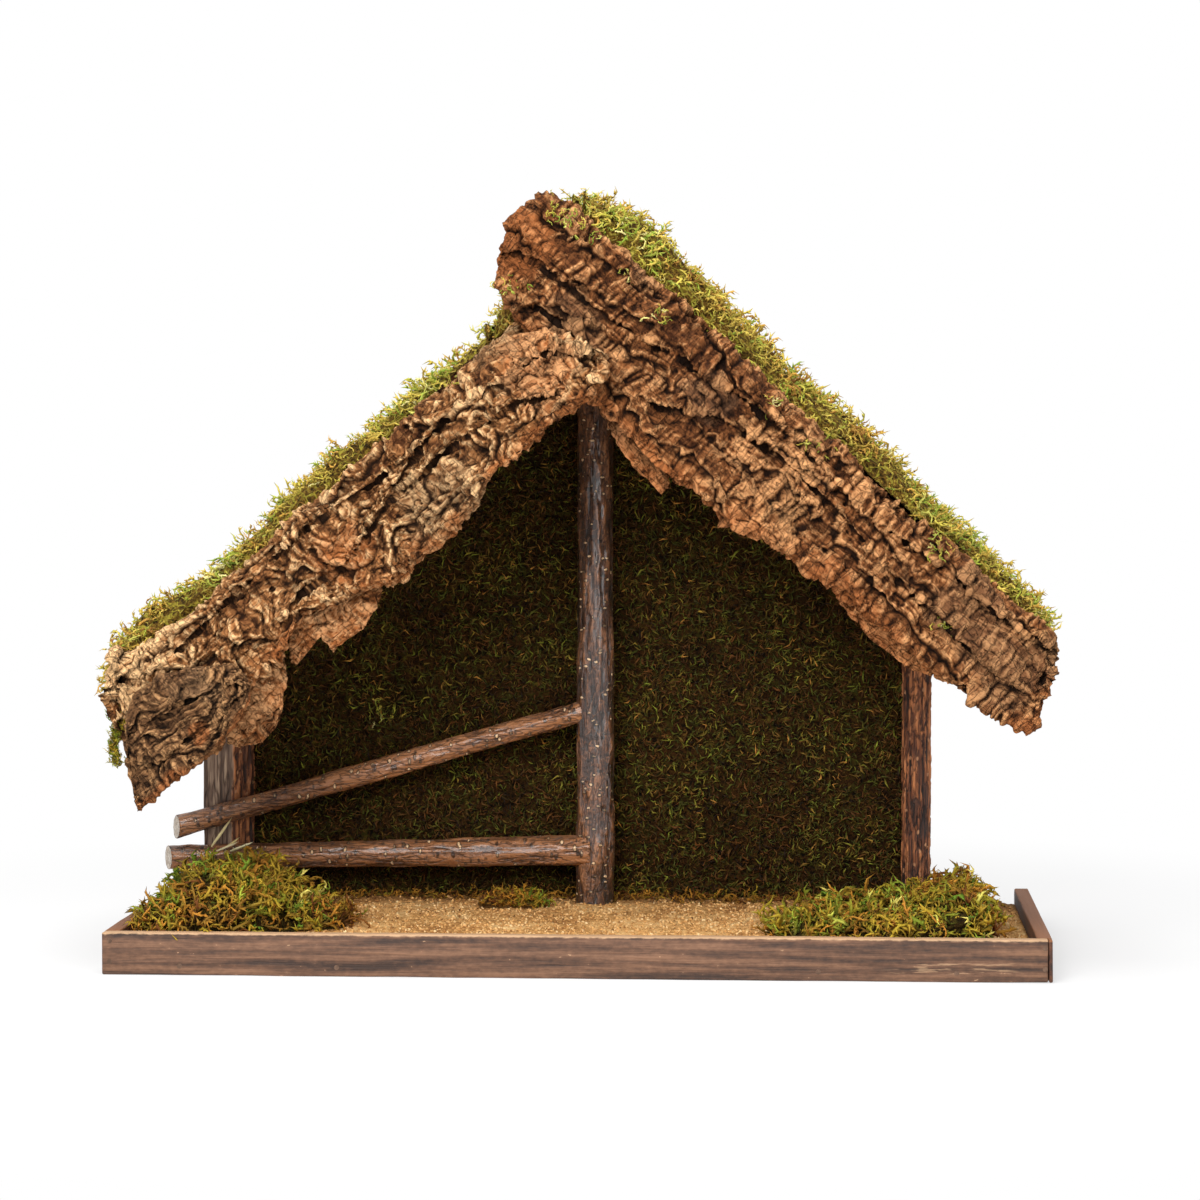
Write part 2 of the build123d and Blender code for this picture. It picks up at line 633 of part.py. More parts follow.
def fence_branch(ends, left_diameter, right_diameter):
    """Tapered branch with a slanted saw cut on the left, coped round the pole on the right."""
    left, right = ends
    branch = tapered_bar(left, right, left_diameter, right_diameter)
    saw_depth = left_diameter / 2
    saw_cut = prism_along_z(
        [
            (left.X - CUT_OVERRUN, left.Y - left_diameter),
            (left.X + saw_depth, left.Y - left_diameter),
            (left.X - CUT_OVERRUN, left.Y + left_diameter),
        ],
        left.Z - left_diameter,
        left.Z + left_diameter,
    )
    beyond = block(0, POLE_FOOT_DIAMETER, POLE_Y - POLE_SETBACK, PANEL_FRONT_Y, FLOOR_THICK, APEX_HEIGHT)
    return branch.cut(saw_cut, pole_bar(), beyond, *FENCE_NAILS).solids().sort_by(SortBy.VOLUME)[-1]


def panel_plate():
    """Gabled back panel on the floor board, in front of the back strip."""
    outline = [
        (LEFT_POST_OUTER_X, FLOOR_THICK),
        (RIGHT_POST_OUTER_X, FLOOR_THICK),
        (RIGHT_POST_OUTER_X, roof_line(RIGHT_POST_OUTER_X) - BOARD_RISE),
        (0, APEX_HEIGHT - BOARD_RISE),
        (LEFT_POST_OUTER_X, roof_line(LEFT_POST_OUTER_X) - BOARD_RISE),
    ]
    return prism_along_y(outline, PANEL_FRONT_Y, INNER_BACK_Y)


def back_panel():
    """Back panel with its brad holes."""
    return panel_plate().cut(*PANEL_BRADS)


def wall_moss():
    """Mat of moss on the front of the panel, between the posts and under the batten."""
    outline = [
        (LEFT_POST_INNER_X, BED_TOP),
        (RIGHT_POST_INNER_X, BED_TOP),
        (RIGHT_POST_INNER_X, roof_line(RIGHT_POST_INNER_X) - BOARD_RISE),
        (0, APEX_HEIGHT - BOARD_RISE),
        (LEFT_POST_INNER_X, roof_line(LEFT_POST_INNER_X) - BOARD_RISE),
    ]
    mat = prism_along_y(outline, PANEL_FRONT_Y - WALL_MOSS_THICK, PANEL_FRONT_Y)
    return mat.cut(batten_bar()).solids().sort_by(SortBy.VOLUME)[-1]


def batten_bar():
    """Ridge batten that fills the angle under the two boards."""
    half = BATTEN_WIDTH / 2
    peak = APEX_HEIGHT - BOARD_RISE
    shoulder = peak - half * math.tan(PITCH)
    outline = [(0, peak), (half, shoulder), (half, BATTEN_BOTTOM), (-half, BATTEN_BOTTOM), (-half, shoulder)]
    return prism_along_y(outline, ROOF_FRONT_Y + BATTEN_FRONT_SETBACK, PANEL_FRONT_Y)


def ridge_batten():
    """Ridge batten with its brad holes."""
    return batten_bar().cut(*PANEL_BRADS, *ROOF_BRADS)


def roof_board(side, reach):
    """Sloping board, mitred at the ridge and square at the eave."""
    down, out = slope_axes(side)
    eave_x = side * (reach - BOARD_EAVE_INSET)
    eave_top = Vector(eave_x, 0, roof_line(eave_x))
    eave_bottom = eave_top - out * BOARD_THICK
    outline = [
        (0, APEX_HEIGHT),
        (eave_top.X, eave_top.Z),
        (eave_bottom.X, eave_bottom.Z),
        (0, APEX_HEIGHT - BOARD_RISE),
    ]
    return prism_along_y(outline, ROOF_FRONT_Y, ROOF_BACK_Y).cut(*ROOF_BRADS, *BARK_BRADS)


def front_rafter(side, reach):
    """Square strip under the front edge of a roof board."""
    ridge_x = side * RAFTER_RIDGE_GAP
    eave_x = side * (reach - BOARD_EAVE_INSET - RAFTER_SIZE)
    outline = []
    for x, drop in ((ridge_x, 0), (eave_x, 0), (eave_x, RAFTER_RISE), (ridge_x, RAFTER_RISE)):
        outline.append((x, roof_line(x) - BOARD_RISE - drop))
    return prism_along_y(outline, ROOF_FRONT_Y, ROOF_FRONT_Y + RAFTER_SIZE).cut(*FASCIA_BRADS)


def bark_sheet(side, reach, thick):
    """Sheet of cork bark on a roof board, flat on top and ragged along the back."""
    rise = thick / math.cos(PITCH)
    sections = []
    for station in range(SHEET_STEPS + 1):
        x = side * (reach - SHEET_EAVE_INSET) * station / SHEET_STEPS
        bottom = roof_line(x)
        back = ROOF_BACK_Y + SHEET_RAGGED * wave(station, 0)
        sections.append([
            (x, ROOF_FRONT_Y, bottom),
            (x, back, bottom),
            (x, back - SHEET_EDGE / 2, bottom + rise / 2),
            (x, back - SHEET_EDGE, bottom + rise),
            (x, ROOF_FRONT_Y, bottom + rise),
        ])
    return ruled(sections).cut(*BARK_BRADS)


def plank_profile(fissures):
    """Height and thickness shares up a plank's front, where each layer lips over the fissure below it."""
    edges = (0, *fissures, 1)
    profile = [(0, PLANK_EDGE_SHARE)]
    for low, high in zip(edges, edges[1:]):
        profile += [(low + part * (high - low), bulge) for part, bulge in LAYER_PROFILE_SHARES]
        profile.append((high, PLANK_EDGE_SHARE if high == 1 else FISSURE_SHARE))
    return profile


def bark_plank(side, stations, back_y, thick):
    """Rough plank of bark along the slope, with two long fissures between its layers."""
    sections = []
    reach, bark_thick = (RIGHT_REACH, RIGHT_BARK_THICK) if side > 0 else (LEFT_REACH, LEFT_BARK_THICK)
    rise = bark_thick / math.cos(PITCH)
    for number, (along, top, drop, forward, *fissures) in enumerate(stations):
        x = side * along * reach
        top_z = roof_line(x) + top * rise
        bottom_z = roof_line(x) - drop * FASCIA_DROP
        back = back_y - forward * FASCIA_STEP
        section = [(x, back, top_z), (x, back, bottom_z)]
        for point, (height, bulge) in enumerate(plank_profile(fissures)):
            y = back - bulge * thick + FASCIA_RELIEF * wave(number, point)
            section.append((x, y, bottom_z + height * (top_z - bottom_z)))
        sections.append(section)
    return ruled(sections)


def bark_chip(side, reach, stations):
    """Flake of inner bark glued behind the lower edge of a fascia plank."""
    sections = []
    for number, (along, top, bottom) in enumerate(stations):
        x = side * along * reach
        top_z = roof_line(x) - top * FASCIA_DROP
        bottom_z = roof_line(x) - bottom * FASCIA_DROP
        middle_z = (top_z + bottom_z) / 2
        back = ROOF_FRONT_Y + CHIP_THICK + FASCIA_RELIEF * wave(number, 0)
        shallow = ROOF_FRONT_Y + CHIP_THICK / 2
        sections.append([
            (x, ROOF_FRONT_Y, top_z),
            (x, ROOF_FRONT_Y, bottom_z),
            (x, shallow, bottom_z),
            (x, back, middle_z),
            (x, shallow, top_z),
        ])
    return ruled(sections)


def moss_section(x, base, front, back, rise, station):
    """Closed section of a moss mat: a flat base and a lumpy top."""
    section = [(x, back, base), (x, front, base)]
    for point, (across, share) in enumerate(MAT_PROFILE_SHARES):
        lump = 1 + wave(station, point) / len(MAT_PROFILE_SHARES)
        section.append((x, front + across * (back - front), base + rise * share * lump))
    return section


def roof_moss(side, reach, bark_thick, start_x, rise_shares):
    """Moss along a roof slope, on top of its bark sheet."""
    bark_rise = bark_thick / math.cos(PITCH)
    back = ROOF_BACK_Y - ROOF_MOSS_BACK_INSET
    sections = []
    for station in range(ROOF_MOSS_STEPS + 1):
        x = side * (start_x + (reach - start_x) * station / ROOF_MOSS_STEPS)
        rise = ROOF_MOSS_THICK * rise_shares[station]
        sections.append(moss_section(x, roof_line(x) + bark_rise, ROOF_FRONT_Y, back, rise, station))
    return ruled(sections)


def ridge_moss():
    """Moss in the step between the thin left bark and the thick right bark at the ridge."""
    left_rise = LEFT_BARK_THICK / math.cos(PITCH)
    step = (RIGHT_BARK_THICK - LEFT_BARK_THICK) / math.cos(PITCH) + ROOF_MOSS_THICK
    back = ROOF_BACK_Y - ROOF_MOSS_BACK_INSET
    sections = []
    for station, (along, share) in enumerate(RIDGE_MOSS_SHARES):
        x = -along * RIDGE_MOSS_WIDTH
        sections.append(moss_section(x, roof_line(x) + left_rise, ROOF_FRONT_Y, back, step * share, station))
    return ruled(sections)


def moss_mound(corner, size, stations):
    """Clump of moss on the ground bed, from its front left corner and its width, depth and height."""
    left_x, front_y = corner
    width, depth, height = size
    sections = []
    for station, (along, rise, front_share, back_share) in enumerate(stations):
        x = left_x + along * width
        front = front_y + front_share * depth
        back = front_y + back_share * depth
        sections.append(moss_section(x, BED_TOP, front, back, rise * height, station))
    return ruled(sections)


def pieces():
    """All solids by node name."""
    mound_front = INNER_FRONT_Y + MOUND_FRONT_GAP
    left_mound_depth = FENCE_FRONT_Y - LEFT_MOUND_BACK_GAP - mound_front
    right_mound_depth = PANEL_FRONT_Y - RIGHT_POST_DEPTH - RIGHT_MOUND_BACK_GAP - mound_front
    left_mound_size = (LEFT_MOUND_WIDTH, left_mound_depth, LEFT_MOUND_HEIGHT)
    right_mound_size = (RIGHT_MOUND_WIDTH, right_mound_depth, RIGHT_MOUND_HEIGHT)
    tuft_size = (POLE_TUFT_WIDTH, POLE_TUFT_DEPTH, POLE_TUFT_HEIGHT)
    left_mound_x = -INNER_X + LEFT_MOUND_GAP
    right_mound_x = INNER_X - BED_SLOPE_WIDTH - RIGHT_MOUND_WIDTH
    tuft_x = -POLE_FOOT_DIAMETER / 2 - POLE_TUFT_GAP - POLE_TUFT_WIDTH
    left_front = bark_plank(-1, LEFT_FASCIA_SHARES, ROOF_FRONT_Y, FASCIA_THICK)
    right_front = bark_plank(1, RIGHT_FASCIA_SHARES, ROOF_FRONT_Y, FASCIA_THICK)
    eave_back = ROOF_FRONT_Y - FASCIA_THICK - FASCIA_RELIEF - CONTACT_GAP
    return {
        "floor_board": floor_board(),
        "front_rail": front_rail(),
        "back_rail": back_rail(),
        "left_rail": side_rail(-1),
        "right_rail": side_rail(1),
        "tray_brads": TRAY_BRADS,
        "ground_bed": ground_bed(),
        "left_post": left_post(),
        "right_post": right_post(),
        "centre_pole": centre_pole(),
        "upper_fence_rail": fence_branch(UPPER_ENDS, UPPER_RAIL_LEFT_DIAMETER, UPPER_RAIL_RIGHT_DIAMETER),
        "lower_fence_rail": fence_branch(LOWER_ENDS, LOWER_RAIL_LEFT_DIAMETER, LOWER_RAIL_RIGHT_DIAMETER),
        "fence_nails": FENCE_NAILS,
        "post_screws": POST_SCREWS,
        "back_panel": back_panel(),
        "panel_brads": PANEL_BRADS,
        "wall_moss": wall_moss(),
        "ridge_batten": ridge_batten(),
        "left_roof_board": roof_board(-1, LEFT_REACH),
        "right_roof_board": roof_board(1, RIGHT_REACH),
        "left_front_rafter": front_rafter(-1, LEFT_REACH),
        "right_front_rafter": front_rafter(1, RIGHT_REACH),
        "roof_brads": ROOF_BRADS,
        "left_bark_sheet": bark_sheet(-1, LEFT_REACH, LEFT_BARK_THICK),
        "right_bark_sheet": bark_sheet(1, RIGHT_REACH, RIGHT_BARK_THICK),
        "bark_brads": BARK_BRADS,
        "left_front_bark": left_front.cut(*FASCIA_BRADS),
        "right_front_bark": right_front.cut(*FASCIA_BRADS),
        "fascia_brads": FASCIA_BRADS,
        "left_eave_bark": bark_plank(-1, EAVE_BARK_SHARES, eave_back, EAVE_BARK_THICK),
        "left_upper_chip": bark_chip(-1, LEFT_REACH, LEFT_UPPER_CHIP_SHARES),
        "left_lower_chip": bark_chip(-1, LEFT_REACH, LEFT_LOWER_CHIP_SHARES),
        "right_upper_chip": bark_chip(1, RIGHT_REACH, RIGHT_UPPER_CHIP_SHARES),
        "right_lower_chip": bark_chip(1, RIGHT_REACH, RIGHT_LOWER_CHIP_SHARES),
        "left_roof_moss": roof_moss(-1, LEFT_REACH, LEFT_BARK_THICK, RIDGE_MOSS_WIDTH, LEFT_MAT_RISE_SHARES),
        "right_roof_moss": roof_moss(1, RIGHT_REACH, RIGHT_BARK_THICK, 0, RIGHT_MAT_RISE_SHARES),
        "ridge_moss": ridge_moss(),
        "left_ground_moss": moss_mound((left_mound_x, mound_front), left_mound_size, LEFT_MOUND_SHARES),
        "right_ground_moss": moss_mound((right_mound_x, mound_front), right_mound_size, RIGHT_MOUND_SHARES),
        "pole_foot_moss": moss_mound((tuft_x, POLE_TUFT_FRONT_Y), tuft_size, POLE_TUFT_SHARES),
    }


def main():
    """Write one file for each node."""
    os.makedirs("parts", exist_ok=True)
    for name, shape in pieces().items():
        solid = Compound(shape) if isinstance(shape, list) else shape
        export_step(solid, f"parts/{name}.step")


main()
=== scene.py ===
"""Looks of a crib stable: cork bark, varnished branches, moss, a crumb bed and a stained tray.

Shapes are worked out in millimetres and written to meshes in metres. Left, right, front and back are as
seen from the open front, which faces -Y.
"""
import logging
import math
from collections.abc import Callable
from dataclasses import dataclass
from enum import Enum
from typing import NamedTuple

import bpy
import numpy as np
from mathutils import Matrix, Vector
from mathutils.bvhtree import BVHTree


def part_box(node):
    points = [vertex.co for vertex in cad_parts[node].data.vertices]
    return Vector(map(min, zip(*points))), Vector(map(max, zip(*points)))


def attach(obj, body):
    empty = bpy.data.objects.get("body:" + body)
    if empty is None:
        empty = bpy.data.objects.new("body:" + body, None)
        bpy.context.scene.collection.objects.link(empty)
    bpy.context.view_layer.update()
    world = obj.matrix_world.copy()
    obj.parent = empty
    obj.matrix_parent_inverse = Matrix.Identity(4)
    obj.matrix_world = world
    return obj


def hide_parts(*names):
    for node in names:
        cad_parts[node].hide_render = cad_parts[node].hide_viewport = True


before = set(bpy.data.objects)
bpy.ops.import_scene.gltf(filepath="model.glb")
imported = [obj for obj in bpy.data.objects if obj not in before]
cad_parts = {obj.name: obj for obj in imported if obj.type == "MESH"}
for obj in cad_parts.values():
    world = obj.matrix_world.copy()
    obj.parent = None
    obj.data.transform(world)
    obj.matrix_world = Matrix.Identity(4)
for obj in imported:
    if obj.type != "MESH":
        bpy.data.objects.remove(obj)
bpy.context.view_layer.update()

LOG = logging.getLogger("crib_stable")
Array = np.ndarray
Colour = tuple[float, float, float, float]
Point = tuple[float, float, float]
Span = tuple[float, float]
Stop = tuple[float, Colour]
Piece = bpy.types.Object
Material = bpy.types.Material
Chance = np.random.Generator

BODY = "root"
MM = 0.001
ROOF_PITCH = math.radians(42.0)
# Height that no strand or crumb reaches below, in millimetres
BED_FLOOR = 10.0
# Distance within which corners become one, in metres
MERGE_GAP = 1e-6
# Keeps lengths that are divided by away from zero
TINY = 1e-9
# Scale at which a Wave texture has one ridge per unit
WAVE_SCALE = math.tau / 20.0
SEEN_RAYS = ("Is Camera Ray", "Is Glossy Ray", "Is Transmission Ray")
NO_TURN: Point = (0.0, 0.0, 0.0)
ORIGIN: Point = (0.0, 0.0, 0.0)
BACKWARDS: Point = (0.0, 1.0, 0.0)
DOWNWARDS: Point = (0.0, 0.0, -1.0)
WHITE: Colour = (1.0, 1.0, 1.0, 1.0)


def tint(red: int, green: int, blue: int) -> Colour:
    """A colour on the sRGB curve, from 0 to 255 a channel, as the linear colour that a shader takes."""
    shares = np.array((red, green, blue)) / 255.0
    linear = np.where(shares <= 0.04045, shares / 12.92, ((shares + 0.055) / 1.055) ** 2.4)
    return (float(linear[0]), float(linear[1]), float(linear[2]), 1.0)


def even(size: float) -> Point:
    """The same size along all three axes."""
    return (size, size, size)


# Repeatable noise on points in space

CUBE_CORNERS = np.array([(x, y, z) for x in (0, 1) for y in (0, 1) for z in (0, 1)])
NEIGHBOURS = np.array([(x, y, z) for x in (-1, 0, 1) for y in (-1, 0, 1) for z in (-1, 0, 1)])
CELL_FACTORS = (73856093, 19349663, 83492791)
SEED_FACTOR = 2654435761
STIR_FACTOR = 0x45D9F3B
STIR_SHIFT = 16
WORD = 0xFFFFFFFF
HALF_WORD = 0xFFFF
# Share of a cell along its border where its point never lies
CELL_MARGIN = 0.08


def scattered(cells: Array, seed: int) -> Array:
    """Repeatable numbers from 0 to 1, one for each whole-numbered cell.

    Args:
        cells: Whole numbers, three to a row.
        seed: Which family of numbers is wanted.

    Returns:
        One number per row.
    """
    first, second, third = (cells[..., axis] * factor for axis, factor in enumerate(CELL_FACTORS))
    word = (first ^ second ^ third ^ seed * SEED_FACTOR) & WORD
    for _ in range(2):
        word = (word ^ (word >> STIR_SHIFT)) * STIR_FACTOR & WORD
    return ((word ^ (word >> STIR_SHIFT)) & HALF_WORD) / HALF_WORD


def soft_noise(points: Array, seed: int) -> Array:
    """Smooth noise from -1 to 1 that changes over about one unit.

    Args:
        points: Places, three numbers to a row.
        seed: Which noise is wanted.

    Returns:
        One number per row.
    """
    base = np.floor(points).astype(np.int64)
    part = points - base
    ease = part * part * (3.0 - 2.0 * part)
    total = np.zeros(points.shape[:-1])
    for corner in CUBE_CORNERS:
        weight = np.prod(np.where(corner == 1, ease, 1.0 - ease), axis=-1)
        total += weight * scattered(base + corner, seed)
    return 2.0 * total - 1.0


def fractal(points: Array, seed: int, octaves: int = 3) -> Array:
    """Smooth noise from about -1 to 1 in octaves, each twice as fine and half as strong as the last."""
    layers = [soft_noise(points * 2.0**octave, seed + octave) * 0.5**octave for octave in range(octaves)]
    return np.sum(layers, axis=0)


def noise_by_axis(points: Array, seed: int, apart: int, octaves: int = 3) -> Array:
    """Smooth noise for each axis by itself, from seeds that stand apart."""
    return np.stack([fractal(points, seed + apart * axis, octaves) for axis in range(3)], axis=-1)


class Cells(NamedTuple):
    """Where points lie in a crowd of irregular cells."""

    edge: Array
    pick: Array
    offset: Array


def cells(points: Array, seed: int, blocky: bool = False) -> Cells:
    """Splits space into irregular cells about one unit across.

    Args:
        points: Places, three numbers to a row.
        seed: Which cells are wanted.
        blocky: Whether the cells have square corners.

    Returns:
        How far each point is from its cell's border, its cell's own number from 0 to 1, and its place in
        the cell.
    """
    base = np.floor(points).astype(np.int64)
    nearest = np.full(points.shape[:-1], np.inf)
    second = np.full(points.shape[:-1], np.inf)
    pick = np.zeros(points.shape[:-1])
    offset = np.zeros(points.shape)
    for step in NEIGHBOURS:
        cell = base + step
        jitter = np.stack([scattered(cell, seed + axis) for axis in range(3)], axis=-1)
        away = points - cell - CELL_MARGIN - (1.0 - 2.0 * CELL_MARGIN) * jitter
        distance = np.abs(away).max(axis=-1) if blocky else np.linalg.norm(away, axis=-1)
        closer = distance < nearest
        second = np.where(closer, nearest, np.minimum(second, distance))
        nearest = np.where(closer, distance, nearest)
        pick = np.where(closer, scattered(cell, seed + 3), pick)
        offset = np.where(closer[..., None], away, offset)
    return Cells(second - nearest, pick, offset)


def rise(values: Array, low: float, high: float) -> Array:
    """Runs smoothly from 0 where values are at low to 1 where they are at high."""
    share = np.clip((values - low) / (high - low), 0.0, 1.0)
    return share * share * (3.0 - 2.0 * share)


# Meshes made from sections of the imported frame


class Axis(Enum):
    """Axis that a row of sections stands square to, or that a strip of wood runs along."""

    X = 0
    Y = 1
    Z = 2


class Side(Enum):
    """Side of the stable, as the sign of X."""

    LEFT = -1
    RIGHT = 1


def box_of(node: str) -> Array:
    """Lowest and highest corner of a CAD node, in millimetres."""
    return np.array(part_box(node)) / MM


def corners_of(mesh: bpy.types.Mesh) -> Array:
    """The mesh's corners in millimetres."""
    places = np.empty(len(mesh.vertices) * 3, np.float32)
    mesh.vertices.foreach_get("co", places)
    return places.astype(float).reshape(-1, 3) / MM


def move_corners(mesh: bpy.types.Mesh, points: Array) -> None:
    """Moves the mesh's corners to points in millimetres."""
    mesh.vertices.foreach_set("co", (points * MM).astype(np.float32).ravel())


def drawn_in(ring: Array, share: float) -> Array:
    """A ring of points drawn in to a share of its size."""
    middle = ring.mean(axis=0)
    return middle + (ring - middle) * share


def half_hull(points: list[Span]) -> list[Span]:
    """One side of the convex outline round sorted flat points."""
    kept: list[Span] = []
    for point in points:
        while len(kept) > 1:
            (ax, ay), (bx, by) = kept[-2], kept[-1]
            if (bx - ax) * (point[1] - ay) - (by - ay) * (point[0] - ax) > 0.0:
                break
            kept.pop()
        kept.append(point)
    return kept[:-1]


def walk_round(pairs: Array) -> Array:
    """Joins loose segments end to end into one outline.

    Args:
        pairs: Both ends of each segment, in a plane.

    Returns:
        Points in order, counter-clockwise.
    """
    ways: dict[Span, list[Span]] = {}
    for first, second in pairs.tolist():
        ways.setdefault(tuple(first), []).append(tuple(second))
        ways.setdefault(tuple(second), []).append(tuple(first))
    here = min(ways)
    loop = [here]
    seen = {here}
    while True:
        ahead = [point for point in ways[here] if point not in seen]
        if not ahead:
            break
        here = ahead[0]
        seen.add(here)
        loop.append(here)
    outline = np.array(loop)
    following = np.roll(outline, -1, axis=0)
    area = np.sum(outline[:, 0] * following[:, 1] - outline[:, 1] * following[:, 0])
    return outline if area > 0.0 else outline[::-1]


@dataclass
class Loft:
    """Rings of points round one CAD node, where planes square to an axis cut it, in millimetres."""

    node: str
    step: float
    count: int
    axis: Axis = Axis.X
    quiet: Span = (1.0, 0.0)
    quiet_share: float = 0.25
    quiet_facing: float = 0.7
    end_gap: float = 0.4
    dome: float = 1.0
    hollows: bool = False
    cap: int = 3

    def triangles(self) -> Array:
        """The node's triangles, as three corners each."""
        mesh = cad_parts[self.node].data
        mesh.calc_loop_triangles()
        order = np.empty(len(mesh.loop_triangles) * 3, np.int32)
        mesh.loop_triangles.foreach_get("vertices", order)
        return corners_of(mesh)[order].reshape(-1, 3, 3)

    def outline(self, triangles: Array, place: float) -> Array:
        """The outline of the node where a plane cuts it, convex unless its hollows are wanted.

        Args:
            triangles: The node's triangles.
            place: Where the plane stands along the axis.

        Returns:
            Points in the plane, in order round the outline.
        """
        start = triangles
        end = np.roll(triangles, -1, axis=1)
        before = start[..., self.axis.value] - place
        after = end[..., self.axis.value] - place
        crossing = before * after < 0.0
        share = (before[crossing] / (before[crossing] - after[crossing]))[:, None]
        flat = [axis for axis in range(3) if axis != self.axis.value]
        cut = np.round((start[crossing] + share * (end[crossing] - start[crossing]))[:, flat], 3)
        if self.hollows:
            return walk_round(cut.reshape(-1, 2, 2))
        ordered = sorted(set(map(tuple, cut.tolist())))
        return np.array(half_hull(ordered) + half_hull(ordered[::-1]))

    def spread(self, outline: Array) -> Array:
        """Even points round an outline, with few of them where it faces the quiet way.

        Args:
            outline: Points in order round the outline.

        Returns:
            The wanted count of points.
        """
        quiet = np.array(self.quiet)
        turn = np.array((-self.quiet[1], self.quiet[0]))
        quiet_first = 100.0
        first = int(np.argmax(outline @ quiet * quiet_first + outline @ turn))
        outline = np.roll(outline, -first, axis=0)
        loop = np.vstack([outline, outline[:1]])
        runs = np.diff(loop, axis=0)
        lengths = np.hypot(runs[:, 0], runs[:, 1]) + TINY
        facing = np.column_stack([runs[:, 1], -runs[:, 0]]) @ quiet / lengths
        weights = np.where(facing > self.quiet_facing, self.quiet_share, 1.0)
        reach = np.concatenate([[0.0], np.cumsum(lengths * weights)])
        wanted = np.arange(self.count) / self.count * reach[-1]
        return np.column_stack([np.interp(wanted, reach, loop[:, axis]) for axis in range(2)])

    def closing(self, row: Array, way: float) -> list[Array]:
        """Rings that draw the node's last ring in to a point.

        Args:
            row: The last ring.
            way: 1 at the high end of the axis and -1 at the low end.

        Returns:
            The rings, from the last one inwards.
        """
        outward = np.zeros(3)
        outward[self.axis.value] = way * self.dome
        sizes = np.linspace(1.0, 0.0, self.cap + 1)[1:]
        return [drawn_in(row, size) + outward * (1.0 - size * size) for size in sizes]

    def rings(self) -> Array:
        """Rings from one end of the node to the other, drawn in to a point at both ends."""
        triangles = self.triangles()
        low = triangles[..., self.axis.value].min() + self.end_gap
        high = triangles[..., self.axis.value].max() - self.end_gap
        places = np.linspace(low, high, max(3, round((high - low) / self.step) + 1))
        sections = [self.spread(self.outline(triangles, place)) for place in places]
        rows = [np.insert(flat, self.axis.value, place, axis=1) for flat, place in zip(sections, places)]
        return np.array(self.closing(rows[0], -1.0)[::-1] + rows + self.closing(rows[-1], 1.0))


def touch(node: str, places: Array, heading: Point, reach: float) -> Array:
    """Pushes needles at a CAD node and finds where they touch it.

    Args:
        node: The CAD node.
        places: Where the needles start, in millimetres.
        heading: Which way they all go.
        reach: How far they go, in millimetres.

    Returns:
        How far each needle went, and nothing where it missed.
    """
    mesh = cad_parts[node].data
    corners = [vertex.co for vertex in mesh.vertices]
    tree = BVHTree.FromPolygons(corners, [tuple(face.vertices) for face in mesh.polygons])
    gone = np.full(len(places), np.nan)
    for number, place in enumerate(places * MM):
        point, _, _, distance = tree.ray_cast(place, heading, reach * MM)
        if point is not None:
            gone[number] = distance / MM
    return gone


def outward_of(rings: Array) -> Array:
    """Directions that point out of the surface through rings of points."""
    along = np.gradient(rings, axis=0)
    around = np.roll(rings, -1, axis=1) - np.roll(rings, 1, axis=1)
    normal = np.cross(around, along)
    normal[[0, -1]] = normal[[1, -2]].mean(axis=1, keepdims=True)
    normal /= np.linalg.norm(normal, axis=-1, keepdims=True) + TINY
    middle = rings.mean(axis=1, keepdims=True)
    return normal * np.sign(((rings - middle) * normal).sum())


def push_out(rings: Array, height: Array, ends: int = 0) -> Array:
    """Moves rings of points out of their surface, and in by no more than half way to each ring's middle.

    Args:
        rings: Points, row by row.
        height: How far each point moves out.
        ends: How many rows at each end may move in further.

    Returns:
        The moved points.
    """
    room = np.linalg.norm(rings - rings.mean(axis=1, keepdims=True), axis=-1)
    room[:ends] = room[len(room) - ends:] = np.inf
    return rings + outward_of(rings) * np.maximum(height, -0.5 * room)[..., None]


def pick_all() -> None:
    """Selects all of the edited piece."""
    bpy.ops.mesh.select_all(action="SELECT")


def edit_all() -> None:
    """Opens the active piece in edit mode with all of it selected."""
    bpy.ops.object.mode_set(mode="EDIT")
    pick_all()


def finish_smooth() -> None:
    """Turns the edited piece's faces outwards, leaves edit mode and shades the piece smooth."""
    pick_all()
    bpy.ops.mesh.normals_make_consistent(inside=False)
    bpy.ops.object.mode_set(mode="OBJECT")
    bpy.ops.object.shade_smooth()


def start_piece(name: str, primitive: Callable, **sizes: float | str) -> Piece:
    """Adds a primitive, with nothing else selected, under a name.

    Args:
        name: The piece's name.
        primitive: The operator that adds it.
        sizes: What the operator is told.

    Returns:
        The new piece.
    """
    bpy.ops.object.select_all(action="DESELECT")
    primitive(**sizes)
    piece = bpy.context.object
    piece.name = name
    return piece


def closed(rows: Array) -> Array:
    """Rows that end where they start."""
    return np.concatenate([rows, rows[:, :1]], axis=1)


def store(mesh: bpy.types.Mesh, layers: dict[str, Array]) -> None:
    """Keeps one number per vertex under each layer's name."""
    for name, values in layers.items():
        layer = mesh.attributes.new(name, "FLOAT", "POINT")
        layer.data.foreach_set("value", np.asarray(values, np.float32).ravel())


def roll_up(name: str, rings: Array, layers: dict[str, Array]) -> Piece:
    """Rolls a grid into a closed skin through rings of points.

    Args:
        name: The piece's name.
        rings: Points in millimetres, row by row.
        layers: Numbers for each point, kept as attributes.

    Returns:
        The piece, closed along its seam and at its ends.
    """
    rows, columns = rings.shape[:2]
    grid = bpy.ops.mesh.primitive_grid_add
    piece = start_piece(name, grid, x_subdivisions=columns, y_subdivisions=rows - 1, calc_uvs=False)
    move_corners(piece.data, closed(rings))
    store(piece.data, {key: closed(values) for key, values in layers.items()})
    edit_all()
    bpy.ops.mesh.remove_doubles(threshold=MERGE_GAP)
    finish_smooth()
    return piece


